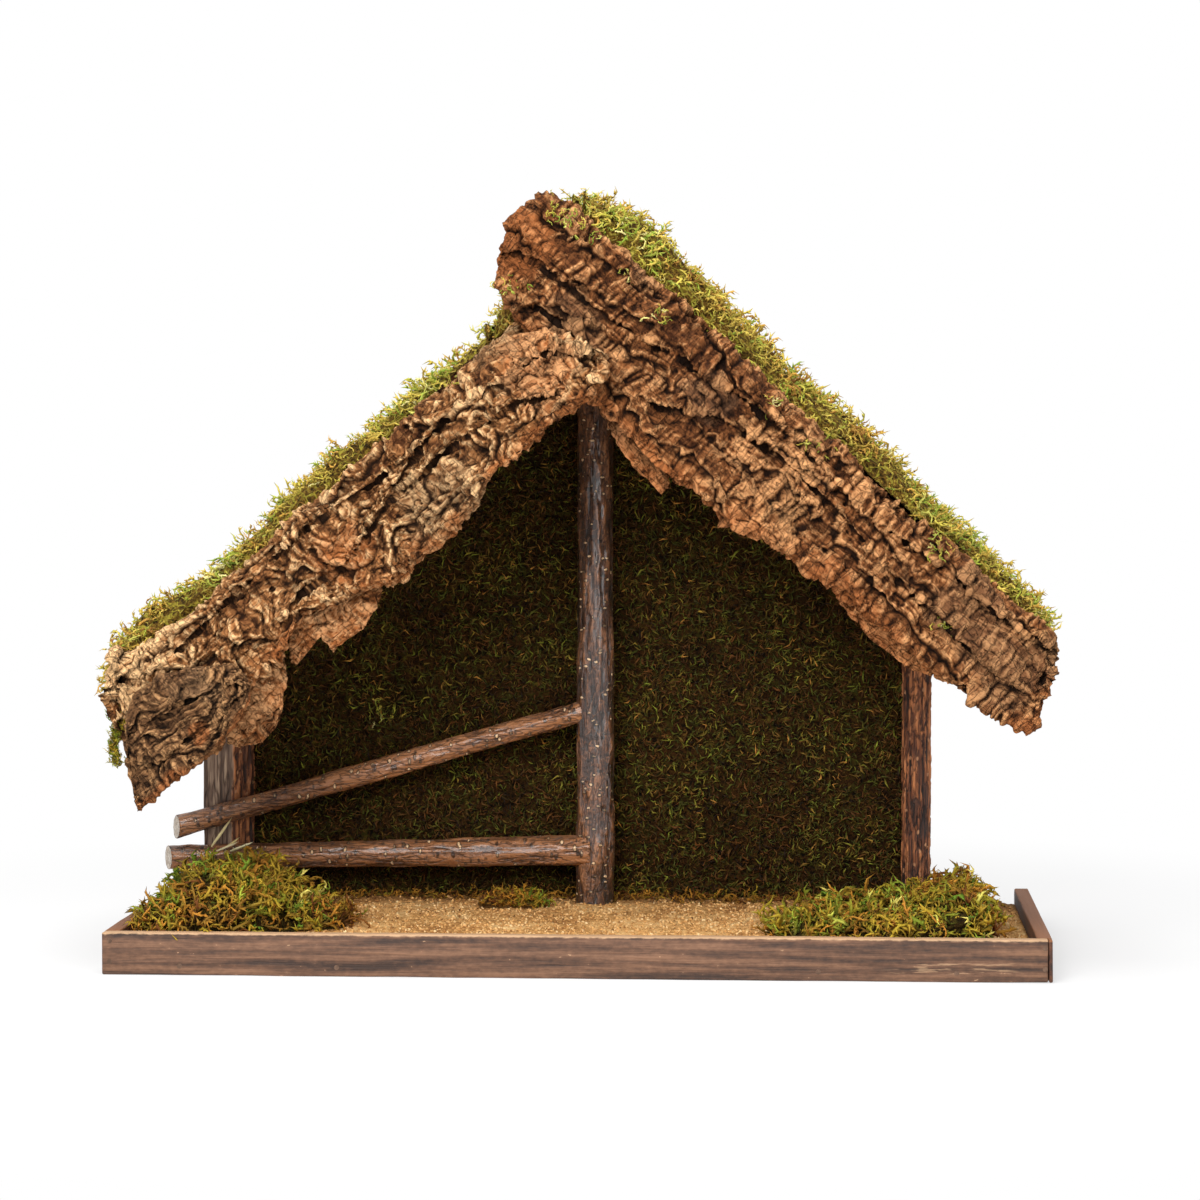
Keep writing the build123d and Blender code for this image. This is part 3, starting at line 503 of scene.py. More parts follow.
def settle(piece: Piece, look: Material, slot: str, *nodes: str) -> None:
    """Dresses a piece, sets it on the part's body and hides the CAD nodes that it stands for.

    Args:
        piece: The finished mesh.
        look: Its material.
        slot: The record's material slot; not used.
        nodes: The CAD nodes that it replaces.
    """
    piece.data.materials.clear()
    piece.data.materials.append(look)
    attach(piece, BODY)
    if nodes:
        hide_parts(*nodes)
    LOG.info("%s: %d faces", piece.name, len(piece.data.polygons))


# Shader nodes written as sums


class Value:
    """A shader socket that takes part in sums."""

    def __init__(self, shade: "Shade", socket: bpy.types.NodeSocket) -> None:
        """Keeps the socket and the shade that its sums add nodes to."""
        self.shade = shade
        self.socket = socket

    def sum(self, operation: str, first: "Value | float", second: "Value | float" = 0.0) -> "Value":
        """A Math node on one or two values."""
        return self.shade.add("ShaderNodeMath", {"operation": operation}, {0: first, 1: second})

    def __add__(self, other: "Value | float") -> "Value":
        """The sum of two values."""
        return self.sum("ADD", self, other)

    def __radd__(self, other: float) -> "Value":
        """The sum with a number on the left."""
        return self.sum("ADD", other, self)

    def __sub__(self, other: "Value | float") -> "Value":
        """The difference of two values."""
        return self.sum("SUBTRACT", self, other)

    def __rsub__(self, other: float) -> "Value":
        """The difference from a number on the left."""
        return self.sum("SUBTRACT", other, self)

    def __mul__(self, other: "Value | float") -> "Value":
        """The product of two values."""
        return self.sum("MULTIPLY", self, other)

    def __rmul__(self, other: float) -> "Value":
        """The product with a number on the left."""
        return self.sum("MULTIPLY", other, self)

    def __abs__(self) -> "Value":
        """The value without its sign."""
        return self.sum("ABSOLUTE", self)

    def step(self, low: float, high: float) -> "Value":
        """Runs smoothly from 0 at low to 1 at high."""
        settings = {"interpolation_type": "SMOOTHSTEP"}
        sockets = {"Value": self, "From Min": low, "From Max": high}
        return self.shade.add("ShaderNodeMapRange", settings, sockets)


class Shade:
    """A material, or the world, that is put together node by node."""

    def __init__(self, name: str, world: bool = False) -> None:
        """Starts an empty material or an empty world."""
        self.owner = (bpy.data.worlds if world else bpy.data.materials).new(name)
        self.owner.use_nodes = True
        self.tree = self.owner.node_tree
        self.tree.nodes.clear()

    def add(self, kind: str, settings: dict | None = None, sockets: dict | None = None,
            out: str | int = 0) -> Value:
        """Adds one node.

        Args:
            kind: The node's type.
            settings: Its properties, and under "stops" the colours of a ramp, set before its sockets.
            sockets: Values or links for its inputs, by name or place.
            out: Which output is wanted.

        Returns:
            That output.
        """
        node = self.tree.nodes.new(kind)
        for name, value in (settings or {}).items():
            if name == "stops":
                self.set_stops(node.color_ramp, value)
            else:
                setattr(node, name, value)
        for key, value in (sockets or {}).items():
            if isinstance(value, Value):
                self.tree.links.new(value.socket, node.inputs[key])
            else:
                node.inputs[key].default_value = value
        return Value(self, node.outputs[out])

    @staticmethod
    def set_stops(ramp: bpy.types.ColorRamp, stops: list[Stop]) -> None:
        """Gives a colour ramp its stops."""
        while len(ramp.elements) < len(stops):
            ramp.elements.new(1.0)
        for element, (place, colour) in zip(ramp.elements, stops):
            element.position = place
            element.color = colour

    def place(self) -> Value:
        """The point's place on the object, in metres."""
        return self.add("ShaderNodeTexCoord", out="Object")

    def axis(self, name: str) -> Value:
        """One coordinate of the point, in metres."""
        return self.add("ShaderNodeSeparateXYZ", None, {0: self.place()}, name)

    def layer(self, name: str) -> Value:
        """A number that the mesh keeps at its vertices."""
        return self.add("ShaderNodeAttribute", {"attribute_name": name}, None, "Fac")

    def seen(self) -> Value:
        """1 on rays that show the surface to the camera, straight, in a mirror or through glass."""
        return sum((self.add("ShaderNodeLightPath", out=kind) for kind in SEEN_RAYS), 0.0)

    def grain(self, stretch: Point, turn: Point = NO_TURN, detail: float = 4.0, rough: float = 0.6) -> Value:
        """Noise from 0 to 1 with so many waves per metre along each of the turned axes."""
        sockets = {"Vector": self.turned(stretch, turn), "Scale": 1.0, "Detail": detail, "Roughness": rough}
        return self.add("ShaderNodeTexNoise", None, sockets)

    def turned(self, stretch: Point, turn: Point = NO_TURN) -> Value:
        """The point's place on turned axes, counted in waves along each of them."""
        waves = tuple(1.0 / number for number in stretch)
        sockets = {"Vector": self.place(), "Rotation": turn, "Scale": waves}
        return self.add("ShaderNodeMapping", {"vector_type": "TEXTURE"}, sockets)

    def stray(self, place: Value, scale: float, sway: float) -> Value:
        """Places moved aside by noise.

        Args:
            place: The places.
            scale: Waves of the noise per unit.
            sway: How far the places move.

        Returns:
            The moved places.
        """
        sockets = {"Vector": place, "Scale": scale, "Detail": 2.0}
        wander = self.add("ShaderNodeTexNoise", None, sockets, "Color")
        drift = self.add("ShaderNodeVectorMath", {"operation": "SCALE"}, {0: wander, "Scale": sway})
        return self.add("ShaderNodeVectorMath", {"operation": "ADD"}, {0: place, 1: drift})

    def hatch(self, stretch: Point, turn: Point, sway: float) -> Value:
        """How far a point is from the nearest of many fine cracks, from 0 in one to about a half."""
        sockets = {"Vector": self.stray(self.turned(stretch, turn), 0.7, sway), "Scale": 1.0,
                   "Randomness": 0.8}
        return self.add("ShaderNodeTexVoronoi", {"feature": "DISTANCE_TO_EDGE"}, sockets, "Distance")

    def waves(self, stretch: Point, sway: float) -> Value:
        """Ridges one above the other, from 0 to 1, that sway by so many radians of a ridge."""
        sockets = {"Vector": self.turned(stretch), "Scale": WAVE_SCALE, "Distortion": sway, "Detail": 2.0,
                   "Detail Scale": 1.2}
        return self.add("ShaderNodeTexWave", {"bands_direction": "Z"}, sockets, "Fac")

    def threads(self, stretch: Point, width: float, turn: Point = NO_TURN) -> Value:
        """Fine winding threads, from 0 between them to 1 on them, with so many turns per metre."""
        return 1.0 - abs(self.grain(stretch, turn, 1.5) - 0.5).step(0.0, width)

    def dots(self, stretch: Point) -> Value:
        """How far a point is from the middle of the nearest cell, in cells."""
        sockets = {"Vector": self.stray(self.turned(stretch), 2.0, 0.35), "Scale": 1.0}
        return self.add("ShaderNodeTexVoronoi", {"feature": "F1"}, sockets, "Distance")

    def ramp(self, factor: Value, stops: list[Stop]) -> Value:
        """A colour picked along a ramp."""
        return self.add("ShaderNodeValToRGB", {"stops": stops}, {"Fac": factor})

    def blend(self, factor: Value | float, first: Value | Colour, second: Value | Colour) -> Value:
        """The second colour laid over the first as far as the factor says."""
        return self.add("ShaderNodeMix", {"data_type": "RGBA"}, {0: factor, 6: first, 7: second}, 2)

    def finish(self, colour: Value, rough: Value | float, height: Value | None = None, depth: float = 0.0,
               **fixed: float) -> Material:
        """Ends the material in a Principled surface.

        Args:
            colour: Base colour.
            rough: Roughness.
            height: Height of the fine relief, from 0 to 1.
            depth: How far that relief stands out, in metres.
            fixed: Other sockets with the same value all over, by name with underscores for spaces.

        Returns:
            The finished material.
        """
        sockets = {"Base Color": colour, "Roughness": rough}
        sockets |= {name.replace("_", " "): value for name, value in fixed.items()}
        if height is not None:
            bump = {"Strength": 1.0, "Distance": depth, "Height": height}
            sockets["Normal"] = self.add("ShaderNodeBump", None, bump, "Normal")
        surface = self.add("ShaderNodeBsdfPrincipled", None, sockets)
        self.add_output(surface)
        return self.owner

    def add_output(self, surface: Value, kind: str = "ShaderNodeOutputMaterial") -> None:
        """Links a surface to a new output."""
        output = self.tree.nodes.new(kind)
        self.tree.links.new(surface.socket, output.inputs["Surface"])


# Cork bark


@dataclass(frozen=True)
class CorkFinish:
    """Colours of one slab of cork bark, from its cracks and painted shade to its palest ridges."""

    name: str
    crack: Colour
    deep: Colour
    middle: Colour
    pale: Colour
    warm: Colour
    ash: Colour
    side: Side
    ribs: Point = (520.0, 120.0, 120.0)
    long: Point = (34.0, 210.0, 190.0)
    net: float = 0.1
    seams: Point = (250.0, 75.0, 75.0)

    def material(self) -> Material:
        """Cork whose colour follows the relief kept at its vertices, with painted shade in its hollows and
        fine ribs across the slope.
        """
        shade = Shade(self.name)
        turn = (0.0, self.side.value * ROOF_PITCH, 0.0)
        fibre = shade.grain((160.0, 900.0, 900.0), turn)
        ribs = shade.grain(self.ribs, turn, 3.0)
        speck = shade.grain(even(700.0), detail=3.0)
        tone = shade.layer("tone") + (fibre - 0.5) * 0.35 + (ribs - 0.5) * 0.4 + (speck - 0.5) * 0.35
        colour = shade.ramp(tone, [(0.2, self.deep), (0.5, self.middle), (0.82, self.pale)])
        colour = shade.blend(shade.layer("warm") * (0.3 + fibre * 0.6), colour, self.warm)
        colour = shade.blend(shade.layer("ash") * (0.15 + speck * 0.6), colour, self.ash)
        pores = (speck * -1.0).step(-0.42, -0.33)
        # Grooves between the ribs are darkened as painted shade.
        groove = (ribs * -1.0).step(-0.44, -0.32)
        seams = shade.threads(self.seams, 0.035, turn)
        splits = shade.threads(self.long, 0.03, turn)
        along = 1.0 - shade.hatch(self.long, turn, 1.1).step(0.0, 0.06)
        # Crack colour over pores, seams and splits, and as painted shade over the grooves and the hollows
        # that the vertices keep.
        cracks_and_shade = ((pores, 0.5), (groove, 0.32), (seams, 0.4), (splits, 0.4), (along, self.net),
                  (shade.layer("crack"), 0.95))
        for crack, weight in cracks_and_shade:
            colour = shade.blend(crack * weight, colour, self.crack)
        height = fibre * 0.25 + speck * 0.35 + ribs * 0.7 - seams * 0.4 - splits * 0.4 - along * 0.15
        return shade.finish(colour, 0.88 - fibre * 0.1, height, depth=0.0016, Specular_IOR_Level=0.12)


class PatchKind(Enum):
    """What a patch of bark shows."""

    ASH = "ash"
    WARM = "warm"
    PALE = "pale"


@dataclass(frozen=True)
class Patch:
    """A round patch of other colour on the front of a slab, in millimetres."""

    x: float
    z: float
    radius: float
    kind: PatchKind


def local_mean(values: Array, reach: int) -> Array:
    """Mean of each number's neighbourhood on a rolled-up grid, as far as reach on all sides."""
    count = 2 * reach + 1
    padded = np.pad(values, ((reach, reach), (0, 0)), mode="edge")
    rows = np.sum([padded[step:step + len(values)] for step in range(count)], axis=0) / count
    return np.sum([np.roll(rows, step, axis=1) for step in range(-reach, reach + 1)], axis=0) / count


class Relief(NamedTuple):
    """Bark at each point: height in millimetres, painted shade in hollows from 0 to 1, and tone from 0 to 1
    with rib tops painted paler.
    """

    height: Array
    hollow_shade: Array
    tone: Array


@dataclass(frozen=True)
class CorkGrain:
    """Relief of one slab of cork bark, in millimetres along the slope, across it and into it."""

    seed: int
    warp: float = 4.0
    warp_size: float = 24.0
    ruffle: float = 0.8
    ruffle_size: float = 6.0
    layer: float = 23.0
    layer_depth: float = 4.2
    layer_wave: float = 12.0
    layer_wave_size: Point = (60.0, 40.0, 40.0)
    layer_shift: Point = (17.3, 0.0, 9.1)
    nibble: float = 2.6
    rib: Point = (2.5, 12.0, 9.0)
    cut: Point = (16.0, 6.0, 9.0)
    rib_round: float = 0.45
    rib_depth: float = 1.7
    block: Point = (7.5, 12.0, 10.0)
    block_lift: float = 1.7
    block_split: float = 0.9
    crevice: float = 0.14
    fibre: float = 0.35
    fibre_size: Point = (14.0, 1.7, 2.6)
    bump: float = 0.6
    bump_size: Point = (3.0, 6.0, 5.0)
    lump: float = 2.4
    lump_size: float = 26.0
    hole_share: float = 0.2
    hole_size: float = 10.0
    hole_depth: float = 2.4
    warm_edge: float = 0.16

    def relief(self, places: Array) -> Relief:
        """Layers that overhang downwards, cut into uneven blocks and ribbed across the slope.

        Args:
            places: Points along the slope, across it and into it.

        Returns:
            The bark at each point.
        """
        seed = self.seed
        sway = noise_by_axis(places / self.warp_size, seed, 10)
        ripple = noise_by_axis(places / self.ruffle_size, seed + 5, 13, 2)
        bent = places + self.warp * sway + self.ruffle * ripple
        wave = fractal(places / self.layer_wave_size, seed + 65)
        nibble = soft_noise(bent / self.rib, seed + 66)
        phase = (self.layer_wave * wave - bent[..., 1] + self.nibble * nibble) / self.layer
        sheet = np.floor(phase)
        fall = phase - sheet
        apart = bent + sheet[..., None] * self.layer_shift
        rib_gap = np.abs(soft_noise(apart / self.rib, seed + 50))
        cut_gap = np.abs(soft_noise(apart / self.cut, seed + 51))
        gap = np.minimum(rib_gap, cut_gap)
        pillow = rise(gap, 0.0, self.rib_round)
        blocks = cells(apart / self.block, seed + 44, blocky=True)
        split = 1.0 - rise(blocks.edge, 0.0, self.crevice)
        fibres = fractal(bent / self.fibre_size, seed + 60)
        bumps = fractal(apart / self.bump_size, seed + 62, 2)
        holes = cells(places / self.hole_size, seed + 80)
        bored = (holes.pick < self.hole_share) * rise(-np.linalg.norm(holes.offset, axis=-1), -0.17, -0.10)
        height = self.lump * fractal(places / self.lump_size, seed + 70)
        height += self.layer_depth * (fall - 0.5 - 0.5 * rise(fall, 0.93, 1.0))
        height += self.rib_depth * (pillow - 0.5) + self.fibre * fibres + self.bump * bumps
        height += self.block_lift * (blocks.pick - 0.5) - self.block_split * split - self.hole_depth * bored
        # Painted shade: in crevices, in bored holes and under each layer's overhanging lip.
        crevice = np.maximum(1.0 - rise(gap, 0.0, self.crevice), 0.7 * split)
        hollow_shade = bored + 0.45 * rise(-fall, -0.32, 0.0) + 0.3 * crevice
        # Rib tops are painted paler, as painted highlight.
        tone = 0.5 + 0.1 * fibres + 0.12 * bumps + 0.1 * (pillow - 0.6) + 0.24 * (blocks.pick - 0.5)
        return Relief(height, hollow_shade, tone)


@dataclass
class CorkPiece:
    """One piece of cork bark on the roof."""

    node: str
    look: CorkFinish
    grain: CorkGrain
    step: float = 0.74
    count: int = 230
    quiet: Span = (1.0, 0.0)
    patches: tuple[Patch, ...] = ()
    # Tone raised on shaded pieces, as painted light.
    painted_light_shift: float = 0.0
    needle: float = 12.0
    cap: int = 18
    dip_reach: int = 2
    dell_reach: int = 6

    def slope_places(self, points: Array) -> Array:
        """Points as distances along the slope, across it and into it."""
        run = self.look.side.value * points[..., 0]
        along = run * math.cos(ROOF_PITCH) - points[..., 2] * math.sin(ROOF_PITCH)
        across = run * math.sin(ROOF_PITCH) + points[..., 2] * math.cos(ROOF_PITCH)
        return np.stack([along, across, points[..., 1]], axis=-1)

    def spots(self, rings: Array, kind: PatchKind) -> Array:
        """How much of one kind of patch shows at each point."""
        total = np.zeros(rings.shape[:-1])
        for patch in self.patches:
            if patch.kind is kind:
                away = np.hypot(rings[..., 0] - patch.x, rings[..., 2] - patch.z) / patch.radius
                ragged = away + 0.35 * fractal(rings / 9.0, self.grain.seed + 95)
                total += rise(-ragged, -1.1, -0.7)
        return np.clip(total, 0.0, 1.0)

    def recess(self, rings: Array) -> Array:
        """How far the node's own front lies behind its convex outline, in fissures and under layers."""
        front = outward_of(rings)[..., 1] < -0.35
        lead = 0.5 * self.needle
        starts = rings[front] - lead * np.array(BACKWARDS)
        depth = np.zeros(rings.shape[:2])
        depth[front] = np.nan_to_num(touch(self.node, starts, BACKWARDS, 2.0 * self.needle) - lead)
        return np.maximum(depth, 0.0)

    def build(self) -> Piece:
        """The bark's mesh, with its tones, painted shade and painted highlights kept at its vertices."""
        rings = Loft(self.node, self.step, self.count, quiet=self.quiet, cap=self.cap).rings()
        depth = self.recess(rings)
        rings = rings + depth[..., None] * BACKWARDS
        relief = self.grain.relief(self.slope_places(rings))
        level = relief.height - depth
        # How far each point lies below the mean of its near and wider neighbours, which paints shade into
        # hollows and highlight onto ridges.
        dip = local_mean(level, self.dip_reach) - level
        dell = local_mean(level, self.dell_reach) - level
        # Painted shade in hollows and under lips, with the bark's dark cracks and holes.
        crack = np.clip(0.8 * rise(dip, 0.25, 1.6) + 0.6 * rise(dell, 0.5, 2.6) + relief.hollow_shade, 0.0, 1.0)
        low = rings[..., 2].min(axis=1)[:, None]
        high = rings[..., 2].max(axis=1)[:, None]
        share = (rings[..., 2] - low) / (high - low + TINY)
        ragged_share = share + 0.14 * fractal(rings / 16.0, self.grain.seed + 96)
        warm = np.maximum(rise(-ragged_share, -self.grain.warm_edge, 0.02), self.spots(rings, PatchKind.WARM))
        drift = fractal(rings / 38.0, self.grain.seed + 97)
        ash = np.maximum(rise(drift, 0.30, 0.62), self.spots(rings, PatchKind.ASH))
        pale = 0.3 * self.spots(rings, PatchKind.PALE)
        # Convex points painted paler and hollow points darker, as painted highlight and shade; shaded pieces
        # raised in tone as painted light.
        tone = relief.tone + self.painted_light_shift + pale + 0.15 * drift + 0.22 * np.clip(-dip, -0.6, 1.2)
        shades = {"tone": tone, "crack": crack, "warm": warm, "ash": ash}
        name = self.node.replace("_bark", "_cork").replace("_chip", "_chip_cork")
        return roll_up(name, push_out(rings, relief.height, self.cap), shades)


@dataclass
class CorkRoof:
    """All the cork bark: two slabs along the front, sheets under the moss, loose chips and a chunk."""

    left_look: CorkFinish = CorkFinish(
        "tan_cork", tint(28, 15, 6), tint(90, 52, 27), tint(162, 108, 63), tint(246, 198, 142),
        tint(180, 106, 56), tint(136, 104, 72), Side.LEFT, (400.0, 140.0, 140.0), (70.0, 190.0, 180.0), 0.2)
    right_look: CorkFinish = CorkFinish(
        "red_cork", tint(22, 11, 5), tint(74, 40, 19), tint(138, 85, 47), tint(218, 158, 104),
        tint(178, 106, 58), tint(116, 86, 62), Side.RIGHT, long=(70.0, 230.0, 200.0))
    chunk_look: CorkFinish = CorkFinish(
        "grey_cork", tint(20, 12, 6), tint(64, 41, 24), tint(124, 87, 56), tint(194, 146, 98),
        tint(176, 104, 56), tint(116, 90, 66), Side.LEFT, (240.0, 300.0, 300.0), (80.0, 300.0, 250.0))

    def pieces(self) -> list[CorkPiece]:
        """Every piece of bark with its grain and colours."""
        right = CorkGrain(seed=100, warp=3.0, ruffle=0.5, layer=19.0, layer_depth=4.6, nibble=3.4,
                          rib=(3.2, 30.0, 18.0), cut=(22.0, 6.5, 9.0), rib_round=0.4, rib_depth=2.0,
                          block=(9.0, 11.0, 10.0), block_lift=2.0, block_split=1.0, bump=0.35, lump=2.6)
        left = CorkGrain(seed=300, warp=7.0, ruffle=1.3, layer=18.0, layer_wave=17.0, rib=(4.2, 8.0, 8.0),
                         cut=(11.0, 5.0, 8.0), rib_depth=2.1, block=even(9.0), lump=2.8, lump_size=20.0,
                         hole_share=0.3)
        chunk = CorkGrain(seed=400, warp=10.0, ruffle=1.2, layer=11.0, layer_depth=2.2, layer_wave=14.0,
                          rib=(11.0, 3.0, 6.0), cut=(22.0, 4.0, 6.0), rib_depth=1.4, block=(14.0, 6.0, 9.0),
                          block_lift=1.0, hole_share=0.08, warm_edge=0.08)
        knobs = CorkGrain(seed=500, layer_depth=0.6, rib=even(5.0), cut=even(7.0), rib_round=0.8,
                          rib_depth=2.6, block=even(9.0), block_lift=0.8, lump=1.6, warm_edge=2.0)
        ash, warm, pale = PatchKind
        right_slab = CorkPiece("right_front_bark", self.right_look, right, 0.66, 200, patches=(
            Patch(-30.0, 348.0, 22.0, warm), Patch(70.0, 200.0, 24.0, warm),
            Patch(118.0, 178.0, 16.0, warm), Patch(62.0, 275.0, 14.0, ash),
            Patch(198.0, 150.0, 16.0, ash), Patch(92.0, 234.0, 34.0, pale)))
        left_slab = CorkPiece("left_front_bark", self.left_look, left, 0.7, 205, patches=(
            Patch(-44.0, 302.0, 14.0, ash), Patch(-112.0, 200.0, 16.0, warm),
            Patch(-208.0, 110.0, 14.0, ash), Patch(-16.0, 290.0, 24.0, pale),
            Patch(-18.0, 288.0, 21.0, warm), Patch(-205.0, 150.0, 30.0, pale)))
        eave_chunk = CorkPiece("left_eave_bark", self.chunk_look, chunk, 0.7, 190, patches=(
            Patch(-179.0, 115.0, 5.0, warm), Patch(-160.0, 100.0, 9.0, warm)))
        looks = {"left": self.left_look, "right": self.right_look}
        # Chips sit in shade and are painted paler to stand in for light.
        chips = [CorkPiece(f"{side}_{place}_chip", look, knobs, count=150, painted_light_shift=0.2)
                 for side, look in looks.items() for place in ("upper", "lower")]
        down = (0.0, -1.0)
        sheets = [CorkPiece("left_bark_sheet", self.left_look, left, 2.1, 190, down),
                  CorkPiece("right_bark_sheet", self.right_look, right, 2.1, 210, down)]
        return [right_slab, left_slab, eave_chunk, *chips, *sheets]

    def build(self) -> None:
        """Models and dresses the bark."""
        looks = {look.name: look.material() for look in (self.left_look, self.right_look, self.chunk_look)}
        for piece in self.pieces():
            settle(piece.build(), looks[piece.look.name], "cork_bark", piece.node)


# Strands, fibres and crumbs that are modelled once and scattered


class Template(NamedTuple):
    """A small shape of unit length along Z: corners, triangles and how far along each corner is."""

    corners: Array
    triangles: Array
    along: Array


@dataclass(frozen=True)
class StrandShape:
    """A strand of moss of unit length: how it bends at each joint in degrees, and its girth there."""

    bends: tuple[float, ...]
    girths: tuple[float, ...]
    leaflets: int = 0
    leaf_length: float = 0.3
    leaf_width: float = 0.07
    leaf_turn: float = 137.5
    sides: int = 3

    def leaf(self, root: Array, heading: float, number: int) -> None:
        """One small pointed leaf on the strand's side.

        Args:
            root: Where it starts.
            heading: Which way the strand runs there, as a turn from upright.
            number: Which leaf it is.
        """
        turn = math.radians(self.leaf_turn * number)
        ahead = np.array((math.sin(heading), 0.0, math.cos(heading)))
        beside = np.array((math.cos(heading), 0.0, -math.sin(heading)))
        way = unit(0.7 * ahead + math.cos(turn) * beside + math.sin(turn) * np.array(BACKWARDS))
        middle = root + way * 0.5 * self.leaf_length
        turned = Vector(way).to_track_quat("Z", "Y").to_euler()
        bpy.ops.mesh.primitive_cone_add(vertices=3, radius1=self.leaf_width, depth=self.leaf_length,
                                        location=tuple(middle), rotation=turned)

    def model(self) -> Template:
        """The strand's shape, drawn out of a small face and closed in a tip, with its leaves."""
        circle = bpy.ops.mesh.primitive_circle_add
        piece = start_piece("strand", circle, vertices=self.sides, radius=self.girths[0], fill_type="NGON")
        edit_all()
        heading = 0.0
        tip = np.zeros(3)
        joints = []
        for bend, girth, next_girth in zip(self.bends, self.girths, self.girths[1:]):
            turn = math.radians(bend)
            heading += turn
            run = np.array((math.sin(heading), 0.0, math.cos(heading))) / len(self.bends)
            bpy.ops.mesh.extrude_region_move(TRANSFORM_OT_translate={"value": tuple(run)})
            tip = tip + run
            joints.append((tip - 0.5 * run, heading))
            bpy.ops.transform.rotate(value=-turn, orient_axis="Y", center_override=tuple(tip))
            size = next_girth / girth
            bpy.ops.transform.resize(value=even(size), center_override=tuple(tip))
        bpy.ops.mesh.merge(type="CENTER")
        for number in range(self.leaflets):
            self.leaf(*joints[number % len(joints)], number)
        bpy.ops.object.mode_set(mode="OBJECT")
        return take_template(piece)


def take_template(piece: Piece) -> Template:
    """Reads a modelled shape as a template and removes the shape.

    Args:
        piece: The shape, which starts at the origin.

    Returns:
        Its corners, triangles and distance along.
    """
    mesh = piece.data
    mesh.calc_loop_triangles()
    corners = np.array([vertex.co[:] for vertex in mesh.vertices])
    triangles = np.array([triangle.vertices[:] for triangle in mesh.loop_triangles])
    away = np.linalg.norm(corners, axis=1)
    bpy.data.objects.remove(piece)
    bpy.data.meshes.remove(mesh)
    return Template(corners, triangles, away / away.max())


@dataclass(frozen=True)
class CrumbShape:
    """A crumb of cork or a shaving, about one unit long."""

    size: Point
    seed: int
    knobs: float = 0.22

    def model(self) -> Template:
        """A knobbly ball pressed to the crumb's size."""
        piece = start_piece("crumb", bpy.ops.mesh.primitive_ico_sphere_add, subdivisions=1, radius=0.5)
        edit_all()
        bpy.ops.transform.vertex_random(offset=self.knobs, seed=self.seed)
        bpy.ops.transform.resize(value=self.size, center_override=ORIGIN)
        bpy.ops.object.mode_set(mode="OBJECT")
        return take_template(piece)


class Spots(NamedTuple):
    """Places on a surface and the directions that point out of it there."""

    places: Array
    outward: Array

    def only_where(self, keep: Array) -> "Spots":
        """The spots where keep is true."""
        return Spots(self.places[keep], self.outward[keep])


def pick_spots(rings: Array, count: int, chance: Chance) -> Spots:
    """Places scattered evenly over the surface through rings of points.

    Args:
        rings: Points, row by row.
        count: How many places.
        chance: Where the random numbers come from.

    Returns:
        The places and the surface's directions there.
    """
    following = np.roll(rings, -1, axis=1)
    along = rings[1:] - rings[:-1]
    around = (following - rings)[:-1]
    areas = np.linalg.norm(np.cross(along, around), axis=-1).ravel()
    picks = chance.choice(areas.size, count, p=areas / areas.sum())
    row, column = np.unravel_index(picks, along.shape[:2])
    shares = chance.random((2, count, 1))
    places = rings[row, column] + shares[0] * along[row, column] + shares[1] * around[row, column]
    return Spots(places, outward_of(rings)[row, column])


def unit(vectors: Array) -> Array:
    """Vectors drawn to unit length."""
    return vectors / (np.linalg.norm(vectors, axis=-1, keepdims=True) + TINY)


class Crop(NamedTuple):
    """Strands or crumbs to be set: where, which way, how long, how stout and of what tint."""

    places: Array
    headings: Array
    lengths: Array
    stoutness: Array
    tints: Array


def sow(name: str, templates: list[Template], crop: Crop, chance: Chance) -> Piece:
    """Sets many copies of a few small shapes into one mesh, without those that would reach below the bed.

    Args:
        name: The piece's name.
        templates: The shapes, which take turns.
        crop: Where and how each copy stands.
        chance: Where the random numbers come from.

    Returns:
        The piece, with tint and distance along kept at its vertices and as a map for its colours.
    """
    spin = unit(np.cross(crop.headings, unit(chance.normal(size=crop.headings.shape))))
    across = np.cross(crop.headings, spin)
    kinds = np.arange(len(crop.places)) % len(templates)
    corners, triangles, tints, along = [], [], [], []
    total = 0
    for kind, template in enumerate(templates):
        chosen = kinds == kind
        wide = (crop.lengths * crop.stoutness)[chosen][:, None, None]
        tall = crop.lengths[chosen][:, None, None]
        x, y, z = (template.corners[None, :, axis, None] for axis in range(3))
        sideways = x * spin[chosen][:, None] + y * across[chosen][:, None]
        shape = wide * sideways + tall * z * crop.headings[chosen][:, None]
        copies = crop.places[chosen][:, None] + shape
        clear = copies[..., 2].min(axis=1) > BED_FLOOR
        corners.append(copies[clear].reshape(-1, 3))
        starts = total + np.arange(clear.sum()) * len(template.corners)
        triangles.append((starts[:, None, None] + template.triangles[None]).reshape(-1, 3))
        tints.append(np.repeat(crop.tints[chosen][clear], len(template.corners)))
        along.append(np.tile(template.along, clear.sum()))
        total += clear.sum() * len(template.corners)
    layers = {"tint": np.concatenate(tints), "along": np.concatenate(along)}
    return plain_mesh(name, np.concatenate(corners), np.concatenate(triangles), layers)


# Free border of a colour map, and how far a triangle's corners stand apart on it
MAP_MARGIN = 0.05
MAP_NUDGE = 0.006


